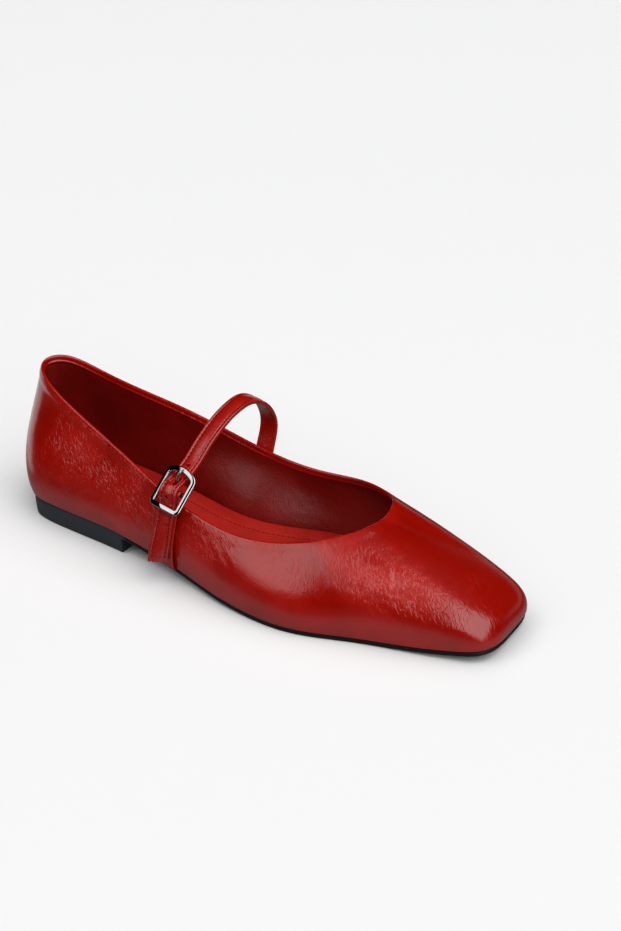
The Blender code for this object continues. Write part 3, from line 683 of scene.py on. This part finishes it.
def plate(name, rings, material, node):
    """A plate across the foot, from rings of points that run from its top middle to its bottom."""
    around = len(rings[0])
    half = around // 2
    points = [point for ring in rings for point in ring]
    faces = sleeve_faces(len(rings), around)
    for ring, first, down in ((rings[0], 0, False), (rings[-1], (len(rings) - 1) * around, True)):
        inside = len(points)

        def spot(k, lane):
            if lane == 0:
                return first + k
            if lane == LANES:
                return first + (-k) % around
            return inside + (k - 1) * (LANES - 1) + lane - 1

        for k in range(1, half):
            points += [ring[k] + (ring[-k] - ring[k]) * lane / LANES for lane in range(1, LANES)]
        for k in range(half):
            for lane in range(LANES):
                corners = [spot(k, lane), spot(k + 1, lane), spot(k + 1, lane + 1), spot(k, lane + 1)]
                if k == 0:
                    corners = [first, spot(1, lane), spot(1, lane + 1)]
                if k == half - 1:
                    corners = [spot(k, lane), first + half, spot(k, lane + 1)]
                faces.append(tuple(reversed(corners)) if down else tuple(corners))
    return add_piece(name, outward_mesh(name, points, faces), material, node)


def sole_ring(inset, height, over_heel=None):
    """The foot's outline pulled in by inset; height: above the outsole's underside, in millimetres."""
    if over_heel is not None:
        ahead = np.clip((foot_ring[:, :1] - BREAST) / (2 * MM), 0, 1)
        inset = over_heel + (inset - over_heel) * ahead
    ring = foot_ring - outward(foot_ring) * inset * MM
    ring[:, 2] = sole_lift(ring[:, 0]) + height * MM
    return ring


sole_rubber = rubber_material()
# The outsole's edge from the top to the underside: how far in, how high, and how far in on the heel.
SOLE_EDGE = [(3.0, 1.95), (0.75, 1.95), (0.55, 1.88), (0.5, 1.7), (0.32, 1.45), (0.3, 0.8), (0.38, 0.4, 0.3),
             (0.65, 0.12, 0.3), (1.1, 0.0, 0.31), (3.0, 0.0)]
plate("outsole_sheet", [sole_ring(*spot) for spot in SOLE_EDGE], sole_rubber, "outsole")


# The heel's layers from the top down: how far each is pulled in, and its share of the height.
HEEL_LAYERS = [(0.31, 1.0), (0.34, 0.9), (0.60, 0.45), (0.85, 0.16), (1.05, 0.06), (1.35, 0.015), (1.7, 0.0)]
UPRIGHT_BREAST = 0.95      # the front face draws back too where the sides are pulled in by more than this


def heel_block():
    """The foot's outline behind the breast, stood up as a block with softened bottom edges."""
    behind = foot_ring[:, 0] < BREAST
    begin = len(foot_ring) - int(np.argmax(~behind[::-1]))
    ring, out = (np.roll(values, -begin, axis=0)[:int(behind.sum())]
                 for values in (foot_ring, outward(foot_ring)))
    layers = []
    for inset, share in HEEL_LAYERS:
        side = ring - out * inset * MM
        side[:, 2] = (sole_lift(side[:, 0]) - 0.05 * MM) * share
        front = BREAST - max(inset - UPRIGHT_BREAST, 0) * MM
        ends = [np.array([front, side[k, 1], sole_lift(BREAST) * share]) for k in (-1, 0)]
        layers.append(np.vstack([side, np.linspace(*ends, 11)]))
    around = len(layers[0])
    faces = sleeve_faces(len(layers), around) + end_faces(len(layers), around)
    mesh = outward_mesh("heel_block", np.vstack(layers), faces)
    heel = add_piece("heel_block", mesh, sole_rubber, "heel")
    heel.data.set_sharp_from_angle(angle=radians(35))


heel_block()


# ---------------------------------------------------------------- insole
# A board covered with a sheet of the lining leather, stitched down in one line that runs parallel to
# its edge, and laid on the outsole inside the upper.

INSOLE_INSET = WALL + 1.0 * MM
SOCK_SEAM_INSET = 8.05     # from the insole's edge, in millimetres
SOCK_SEAM_HEIGHT = 4.66    # of the thread above the outsole's underside
# From the middle over the seam's furrow to the edge and the underside: how far in, and how high.
SOCK_RINGS = [(9.5, 4.72), (8.9, 4.74), (8.4, 4.70), (SOCK_SEAM_INSET, 4.56), (7.7, 4.70), (7.2, 4.78),
              (5.0, 4.82), (2.5, 4.86), (1.0, 4.92), (0.3, 4.9), (0.0, 4.6), (0.0, 2.35), (2.0, 2.3)]
DEEP_SOCK = (0.29, 0.006, 0.003, 1)
BRIGHT_SOCK = (0.41, 0.012, 0.007, 1)
sock_leather = leather_material("sock_leather", DEEP_SOCK, BRIGHT_SOCK, 0.4, ((0.05, 0.0),),
                                relief=0.4 * MM, gloss=0.45, unrolled=False)
plate("insole_sock", [sole_ring(INSOLE_INSET / MM + inset, height) for inset, height in SOCK_RINGS],
      sock_leather, "insole")


# ---------------------------------------------------------------- strap and buckle holder
# Two strips of the waxed leather, folded in at their edges, backed and stitched along both sides. The
# long one comes from under the inner side, over the instep and through the buckle; the short one
# holds the buckle's cross bar and is slotted for the pin.

BUCKLE_STATION = 0.4285    # its middle along the shoe, as a share of the length
BUCKLE_ACROSS = -31.3 * MM
BUCKLE_HEIGHT = 42.5 * MM
BUCKLE_SLOPE = 49.0        # how steep it lies, and how far it is turned there, in degrees
BUCKLE_TURN = -8.0
BUCKLE_WIDTH = 14.2        # in millimetres, as the sizes after it
BUCKLE_LENGTH = 15.7
BUCKLE_BOW = 2.2
BUCKLE_CORNER = 1.5
BAR_RADIUS = 1.15
CROSS_BAR_RADIUS = 0.5
CROSS_BAR_DEPTH = 2.45
PRONG_RADIUS = 0.6
STRAP_STATION = 0.4298     # where it crosses the middle, as a share of the length
STRAP_SKEW = 0.035         # how far it runs ahead for its way across
STRAP_WIDTH = 8.8
STRAP_THICKNESS = 1.8
PIN_HOLE_ALONG = 4.0       # up the strap from the buckle's middle
PIN_HOLE_LENGTH = 5.6
PIN_HOLE_WIDTH = 2.0
SPARE_HOLES = (-2.6, 12.8)
HOLE_WIDTH = 1.6
PUNCH_REACH = 2.2          # above and below the strap's middle
# The strap's way from its free end. On the shoe: across it and above the floor; in the buckle: up the
# slope from its middle and out from it. Then how far ahead it is shifted and how far it is banked.
Bend = namedtuple("Bend", "where first second ahead bank")
STRAP_ROUTE = [
    Bend("shoe", -40.8, 12.0, -0.5, -38),
    Bend("shoe", -40.2, 16.8, -0.3, -26),
    Bend("shoe", -38.6, 22.5, 0, -13),
    Bend("shoe", -36.6, 28.5, 0, -2),
    Bend("buckle", -8.0, -2.9, 0, 3),
    Bend("buckle", -4.6, -0.9, 0, 1),
    Bend("buckle", -1.6, 1.3, 0, 0),
    Bend("buckle", 1.6, 1.3, 0, 0),
    Bend("buckle", 4.6, -0.9, 0, 0),
    Bend("buckle", 8.0, -2.9, 0, 1),
    Bend("shoe", -17.0, 50.0, 0, 2),
    Bend("shoe", -5.4, 58.0, 0, 2),
    Bend("shoe", 8.0, 64.0, 0, -2),
    Bend("shoe", 21.3, 65.2, 0, -8),
    Bend("shoe", 32.5, 58.9, 0, -8),
    Bend("shoe", 38.2, 47.9, 0, 0),
    Bend("shoe", 34.8, 34.2, 0, 7),
    Bend("shoe", 28.7, 20.6, 0, 9),
    Bend("shoe", 21.3, 8.3, 0, 4),
]
STRAP_TUCK = [(19.0, 6.9), (15.5, 6.6)]  # across and above the floor, as the next two
HOLDER_TUCK = [(-30.5, 5.6), (-33.6, 6.4)]
HOLDER_ROUTE = [(-35.4, 8.0), (-36.1, 14.5), (-35.3, 21.5), (-33.1, 29.0), (-31.4, 35.0)]
HOLDER_BANK = 9            # degrees by which its toe side stands out, as the upper's side does there
HOLDER_WIDTH = 8.4
HOLDER_THICKNESS = 1.2
HOLDER_SHIFT = 0.6 * MM
HOLDER_TURN = 250          # degrees that it wraps around the cross bar
PIN_SLOT = (3.0 * MM, 12 * MM, 8 * MM)  # the block that is cut out for the pin


def buckle_frame_axes():
    slope, turn = radians(BUCKLE_SLOPE), radians(BUCKLE_TURN)
    middle = np.array([BUCKLE_STATION * LENGTH - HEEL_REST, BUCKLE_ACROSS, BUCKLE_HEIGHT])
    across0 = np.array([1, 0, 0])
    climb0 = np.array([0, cos(slope), sin(slope)])
    out = np.array([0, -sin(slope), cos(slope)])
    return middle, cos(turn) * across0 + sin(turn) * climb0, cos(turn) * climb0 - sin(turn) * across0, out


def in_buckle(across, climb, out):
    middle, u, v, w = buckle_frame_axes()
    return middle + MM * (across * u + climb * v + out * w)


def on_shoe(across, height):
    x = STRAP_STATION * LENGTH - HEEL_REST + STRAP_SKEW * across * MM
    return np.array([x, across * MM, height * MM])


def in_buckle_level(climb, out):
    slope = radians(BUCKLE_SLOPE)
    across = BUCKLE_ACROSS / MM + climb * cos(slope) - out * sin(slope)
    return on_shoe(across, BUCKLE_HEIGHT / MM + climb * sin(slope) + out * cos(slope))


def band_directions(line, banks):
    along = np.gradient(line, axis=0)
    along /= np.linalg.norm(along, axis=1, keepdims=True)
    flat = np.array([1.0, 0, 0]) - along * along[:, :1]
    flat /= np.linalg.norm(flat, axis=1, keepdims=True)
    out = np.cross(flat, along)
    bank = np.radians(banks)[:, None]
    return np.cos(bank) * flat + np.sin(bank) * out, np.cos(bank) * out - np.sin(bank) * flat


def strip_profile(width, thickness):
    """The strip's section, in millimetres: folded edges, stitch furrows and backing."""
    w, t = width / 2, thickness / 2
    half = [(0.0, t + 0.16), (0.8, t + 0.14), (1.6, t + 0.06), (w - 2.1, t - 0.08), (w - 1.8, t - 0.26),
            (w - 1.55, t - 0.4), (w - 1.3, t - 0.26), (w - 1.05, t - 0.02), (w - 0.75, t + 0.05),
            (w - 0.4, t - 0.02), (w - 0.12, t - 0.28), (w, 0.12), (w - 0.06, 0.0), (w - 0.16, -0.06),
            (w - 0.05, -0.14), (w - 0.05, -t + 0.4), (w - 0.18, -t + 0.14), (w - 0.5, -t), (0.0, -t)]
    return half + [(-a, b) for a, b in reversed(half[1:-1])]


def strip(name, line, wide, face, profile, scale, node):
    """A strip swept along its line; scale: its width and thickness there, as shares."""
    count = len(profile)
    section = np.array(profile) * MM
    points = []
    for place, across, out, (broad, thick) in zip(line, wide, face, scale):
        points += [place + across * a * broad + out * b * thick for a, b in section]
    girth = lengths_along(np.vstack([section, section[:1]]))
    reach = lengths_along(line)
    uv = [((girth[k], reach[i]), (girth[k], reach[i + 1]),
           (girth[k + 1], reach[i + 1]), (girth[k + 1], reach[i]))
          for i in range(len(line) - 1) for k in range(count)]
    ends = end_faces(len(line), count)
    uv += [[(girth[k % count], along) for k in end] for end, along in zip(ends, (0.0, reach[-1]))]
    faces = sleeve_faces(len(line), count) + ends
    return leather_piece(name, points, faces, uv, strap_leather, node)


def strap_lines():
    knots = []
    for bend in STRAP_ROUTE:
        place = on_shoe if bend.where == "shoe" else in_buckle_level
        x, y, z = place(bend.first, bend.second)
        knots.append((x + bend.ahead * MM, y, z, bend.bank))
    knots += [(*on_shoe(*spot), 4) for spot in STRAP_TUCK]
    filled = open_curve(np.array(knots), 14)
    return filled[:, :3], filled[:, 3]


strap_leather = leather_material("strap_leather", DEEP_RED, BRIGHT_RED, 0.24, ((0.12, 1.1),),
                                 relief=0.3 * MM, gloss=1.0)
strap_line, strap_bank = strap_lines()
strap_wide, strap_face = band_directions(strap_line, strap_bank)
# Skived thin over its last points, where it goes in between upper and sole.
SKIVED = 35
tuck = np.clip((np.arange(len(strap_line)) - (len(strap_line) - 1 - SKIVED)) / SKIVED, 0, 1)
strap_scale = np.column_stack([np.ones(len(strap_line)), 1 - 0.8 * tuck])
strap = strip("strap_strip", strap_line, strap_wide, strap_face,
              strip_profile(STRAP_WIDTH, STRAP_THICKNESS), strap_scale, "strap")


def plain_mesh(thing):
    """The mesh that a thing's modifiers make."""
    bpy.context.view_layer.update()
    return bpy.data.meshes.new_from_object(thing.evaluated_get(bpy.context.evaluated_depsgraph_get()))


def cut(piece, cutter):
    boolean = piece.modifiers.new(cutter.name, "BOOLEAN")
    boolean.object = cutter
    boolean.solver = "EXACT"
    mesh = plain_mesh(piece)
    piece.modifiers.remove(boolean)
    old = piece.data
    piece.data = mesh
    bpy.data.meshes.remove(old)
    bpy.data.objects.remove(cutter)


def hole(line, climb, length, width, across=0.0):
    """A punch through the strap where its outer half passes that climb: a slot with round ends."""
    slope = radians(BUCKLE_SLOPE)
    outer_half = line[:int(np.argmax(line[:, 2]))]
    rise = (outer_half - in_buckle_level(0, 0)) @ np.array([0, cos(slope), sin(slope)])
    index = int(np.argmin(np.abs(rise - climb * MM)))
    along = line[index + 1] - line[index - 1]
    along /= np.linalg.norm(along)
    side = np.array([1.0, 0, 0])
    out = np.cross(side, along)
    straight = max(0.0, (length - width) / 2)
    outline = []
    for sign, begin in ((1, -90), (-1, 90)):
        for angle in np.radians(begin + np.linspace(0, 180, 9)):
            outline.append((sign * straight + width / 2 * cos(angle), width / 2 * sin(angle)))
    points = [line[index] + MM * (along * a + side * (b + across) + out * PUNCH_REACH * level)
              for level in (-1, 1) for a, b in outline]
    faces = sleeve_faces(2, len(outline)) + end_faces(2, len(outline))
    punch = bpy.data.objects.new("punch", outward_mesh("punch", points, faces))
    bpy.context.scene.collection.objects.link(punch)
    return punch


pin_across = (in_buckle(0, PIN_HOLE_ALONG, 0)[0] - in_buckle_level(PIN_HOLE_ALONG, 0)[0]) / MM
cut(strap, hole(strap_line, PIN_HOLE_ALONG, PIN_HOLE_LENGTH, PIN_HOLE_WIDTH, pin_across))
for climb in SPARE_HOLES:
    cut(strap, hole(strap_line, climb, HOLE_WIDTH, HOLE_WIDTH))


def holder_piece():
    middle, across, climb, out = buckle_frame_axes()
    bar = middle - out * CROSS_BAR_DEPTH * MM
    turn = (CROSS_BAR_RADIUS + HOLDER_THICKNESS / 2 + 0.25) * MM
    begin = 180 - BUCKLE_SLOPE
    angles = np.radians(np.linspace(begin, begin - HOLDER_TURN, 36))[:, None]
    wrap_face = np.cos(angles) * climb + np.sin(angles) * out
    wrap = bar + turn * wrap_face - across * HOLDER_SHIFT
    knots = [on_shoe(*spot) for spot in HOLDER_TUCK + HOLDER_ROUTE] + [wrap[0] - (0, 0, 1.5 * MM)]
    rise = open_curve(np.array(knots), 10)
    wide, face = band_directions(rise, np.full(len(rise), HOLDER_BANK))
    line = np.vstack([rise, wrap])
    wide = np.vstack([wide, np.tile(across, (len(wrap), 1))])
    thick = np.clip(0.25 + np.arange(len(line)) / 20, 0, 1)
    scale = np.column_stack([np.ones(len(line)), thick])
    holder = strip("holder_strip", line, wide, np.vstack([face, wrap_face]),
                   strip_profile(HOLDER_WIDTH, HOLDER_THICKNESS), scale, "buckle_strap")
    bpy.ops.mesh.primitive_cube_add(size=1)
    slot = bpy.context.object
    slot.name = "pin_slot"
    slot.scale = PIN_SLOT
    slot.rotation_euler.z = radians(BUCKLE_TURN) * cos(radians(BUCKLE_SLOPE))
    slot.location = bar + (0, 0, 0.5 * MM)
    cut(holder, slot)


holder_piece()


# ---------------------------------------------------------------- buckle
# A rectangle of thick polished wire with round corners and a bowed upper bar, a thin recessed cross
# bar for the holder, and a pin that loops around the cross bar and rests on the upper bar.

ARCH_DEPTH = 0.85          # of the side bars below the middle
STEEL = (0.58, 0.58, 0.59, 1)


def polished_metal():
    material, tree, shader = new_material("polished_metal")
    smear = noise(tree, add_node(tree, "ShaderNodeTexCoord").outputs["Object"], 350, 4)["Fac"]
    set_inputs(shader, {"Base Color": STEEL, "Metallic": 1,
                        "Roughness": ramp(tree, smear, 0, 1, 0.02, 0.08, kind="LINEAR")})
    return material


metal = polished_metal()


def tube(name, line, radius, node, closed=False, sides=16, tops=None, square=1.0, thick=1.0):
    """A bar swept along its line. tops: where its section's flat top faces; square: 1 is round, and less
    is flatter; thick: its height as a share of its width."""
    line = np.array(line)
    count = len(line)
    if closed:
        along = np.roll(line, -1, axis=0) - np.roll(line, 1, axis=0)
    else:
        along = np.gradient(line, axis=0)
    along /= np.linalg.norm(along, axis=1, keepdims=True)
    if tops is None:
        tops = [buckle_frame_axes()[1]] * count
    points = []
    for place, ahead, top in zip(line, along, tops):
        first = top - ahead * (top @ ahead)
        first /= np.linalg.norm(first)
        second = np.cross(ahead, first)
        for k in range(sides):
            up, beside = cos(2 * pi * k / sides), sin(2 * pi * k / sides)
            up = thick * np.sign(up) * abs(up) ** square
            beside = np.sign(beside) * abs(beside) ** square
            points.append(place + radius * MM * (up * first + beside * second))
    faces = sleeve_faces(count, sides, closed)
    if not closed:
        faces += end_faces(count, sides)
    add_piece(name, outward_mesh(name, points, faces), metal, node)


def buckle_outline():
    wide, long = BUCKLE_WIDTH / 2, BUCKLE_LENGTH / 2
    outline = []
    for side_x, side_y, begin in ((1, 1, 0), (-1, 1, 90), (-1, -1, 180), (1, -1, 270)):
        for step in range(9):
            angle = radians(begin + 11.25 * step)
            outline.append((side_x * (wide - BUCKLE_CORNER) + BUCKLE_CORNER * cos(angle),
                            side_y * (long - BUCKLE_CORNER) + BUCKLE_CORNER * sin(angle)))
        if side_x == side_y:
            outline += [(side_x * wide * s / 8, side_y * long) for s in range(5, -6, -1)]
    return [(x, y + BUCKLE_BOW * max(0, 1 - (x / wide) ** 2) * (y > 0)) for x, y in outline]


def arch(x):
    """The frame is bent a little over the instep: how far it stands out there."""
    return 0.25 - ARCH_DEPTH * (x / (BUCKLE_WIDTH / 2)) ** 2


half_wide = BUCKLE_WIDTH / 2
bars = buckle_outline()
_, bar_side, _, bar_out = buckle_frame_axes()
tube("buckle_bars", [in_buckle(x, y, arch(x)) for x, y in bars], BAR_RADIUS, "buckle_frame", closed=True,
     sides=24, tops=[bar_out + bar_side * 2 * ARCH_DEPTH * x / half_wide ** 2 for x, y in bars],
     square=0.5, thick=0.75)

# The cross bar leaves the side bars and bends down to its depth, the same at both ends.
cross = []
for from_end, share in ((0.1, 0.0), (0.8, 0.55), (1.3, 0.9), (2.0, 1.0)):
    x = half_wide - from_end
    cross.append((x, (1 - share) * arch(x) - share * CROSS_BAR_DEPTH))
cross = [(-x, out) for x, out in cross] + cross[::-1]
tube("buckle_cross_bar", [in_buckle(x, 0, out) for x, out in cross], CROSS_BAR_RADIUS, "buckle_frame",
     sides=10)

# The pin's loop, and then the pin itself up to and over the upper bar.
loop = CROSS_BAR_RADIUS + 0.2 + PRONG_RADIUS
pin_loop = [in_buckle(0, loop * cos(angle), loop * sin(angle) - CROSS_BAR_DEPTH)
            for angle in np.radians(np.linspace(330, 90, 21))]
rest = BUCKLE_LENGTH / 2 + BUCKLE_BOW
over = BAR_RADIUS + PRONG_RADIUS + 0.1
pin_route = [(2.2, -1.0), (4.4, 0.0), (6.6, 1.3), (rest - 0.6, over), (rest + 0.4, over)]
pin_knots = np.array([pin_loop[-1]] + [in_buckle(0, along, out) for along, out in pin_route])
pin_line = np.vstack([pin_loop[:-1], open_curve(pin_knots, 6)])
tube("buckle_pin", pin_line, PRONG_RADIUS, "buckle_prong", sides=12)


# ---------------------------------------------------------------- stitches
# Waxed red thread, sunk in its furrow: two rows along the strap, one across its free end, and one
# around the insole.

THREAD_RED = (0.11, 0.0035, 0.002, 1)
SEAM_INSET = 1.55          # from the strap's edge
SEAM_DEPTH = 0.26          # in its furrow
SEAM_STARTS = 8            # points of the strap's line from its free end
SEAM_ENDS = 22             # and from its tucked end
CROSS_SEAMS = ((8, 1.0), (43, 0.86))  # points of the line, and shares of the width between the rows


def stitch_tree(thread):
    """Short thick stitches of thread, set end to end along the guide line and turned to follow it."""
    tree = bpy.data.node_groups.new("stitch_row", "GeometryNodeTree")
    tree.interface.new_socket("Guide", in_out="INPUT", socket_type="NodeSocketGeometry")
    for name in ("Pitch", "Stitch Length", "Thread Radius"):
        tree.interface.new_socket(name, in_out="INPUT", socket_type="NodeSocketFloat")
    tree.interface.new_socket("Stitches", in_out="OUTPUT", socket_type="NodeSocketGeometry")
    start = add_node(tree, "NodeGroupInput").outputs
    path = add_node(tree, "GeometryNodeMeshToCurve", {"Mesh": start["Guide"]}).outputs["Curve"]
    spots = add_node(tree, "GeometryNodeCurveToPoints", {"Curve": path, "Length": start["Pitch"]},
                     mode="LENGTH").outputs
    bead = add_node(tree, "GeometryNodeMeshUVSphere", {"Segments": 8, "Rings": 6, "Radius": 1.0})
    size = add_node(tree, "ShaderNodeCombineXYZ", {"X": start["Thread Radius"], "Y": start["Thread Radius"],
                                                   "Z": start["Stitch Length"]})
    turn = add_node(tree, "FunctionNodeAlignRotationToVector", {"Vector": spots["Tangent"]}, axis="Z")
    row = add_node(tree, "GeometryNodeInstanceOnPoints",
                   {"Points": spots["Points"], "Instance": bead.outputs["Mesh"],
                    "Rotation": turn.outputs["Rotation"], "Scale": size.outputs["Vector"]})
    real = add_node(tree, "GeometryNodeRealizeInstances", {"Geometry": row.outputs["Instances"]})
    finish = add_node(tree, "GeometryNodeSetMaterial", {"Geometry": real.outputs["Geometry"],
                                                        "Material": thread})
    add_node(tree, "NodeGroupOutput", {"Stitches": finish.outputs["Geometry"]})
    return tree


def thread_material():
    material, tree, shader = new_material("red_thread")
    where = add_node(tree, "ShaderNodeTexCoord").outputs["Object"]
    twist = noise(tree, where, 5000)["Fac"]
    set_inputs(shader, {"Base Color": THREAD_RED, "Roughness": 0.6, "Specular IOR Level": 0.15,
                        "Normal": bumps(tree, twist, 0.03 * MM)})
    return material


STITCH_ROW = stitch_tree(thread_material())


def stitch(name, lines, pitch, length, radius):
    """Each line is a guide; the stitches of all of them become one plain mesh."""
    points, edges = [], []
    for line in lines:
        first = len(points)
        points += [tuple(point) for point in line]
        edges += [(first + k, first + k + 1) for k in range(len(line) - 1)]
    mesh = bpy.data.meshes.new(name)
    mesh.from_pydata(points, edges, [])
    guide = bpy.data.objects.new(name + "_guide", mesh)
    bpy.context.scene.collection.objects.link(guide)
    sew = guide.modifiers.new("sew", "NODES")
    sew.node_group = STITCH_ROW
    values = {"Pitch": pitch * MM, "Stitch Length": length / 2 * MM, "Thread Radius": radius * MM}
    for item in STITCH_ROW.interface.items_tree:
        if item.in_out == "INPUT" and item.name in values:
            sew[item.identifier] = values[item.name]
    sewn = plain_mesh(guide)
    bpy.data.objects.remove(guide)
    return add_piece(name, sewn, None)


seam_across = (STRAP_WIDTH / 2 - SEAM_INSET) * MM
seam_out = (STRAP_THICKNESS / 2 - SEAM_DEPTH) * MM
sewn_part = slice(SEAM_STARTS, len(strap_line) - SEAM_ENDS)
rows = [(strap_line + strap_wide * side * seam_across + strap_face * seam_out)[sewn_part] for side in (-1, 1)]
for place, reach in CROSS_SEAMS:
    row = []
    for share in np.linspace(-1, 1, 12):
        crown = STRAP_THICKNESS / 2 + 0.16 * (1 - share ** 2) - 0.04
        row.append(strap_line[place] + strap_wide[place] * share * reach * seam_across
                   + strap_face[place] * crown * MM)
    rows.append(np.array(row))
stitch("strap_stitches", rows, pitch=1.9, length=1.25, radius=0.22)
sock_seam = sole_ring(INSOLE_INSET / MM + SOCK_SEAM_INSET, SOCK_SEAM_HEIGHT)
stitch("insole_stitches", [np.vstack([sock_seam, sock_seam[:1]])], pitch=2.3, length=1.7, radius=0.2)
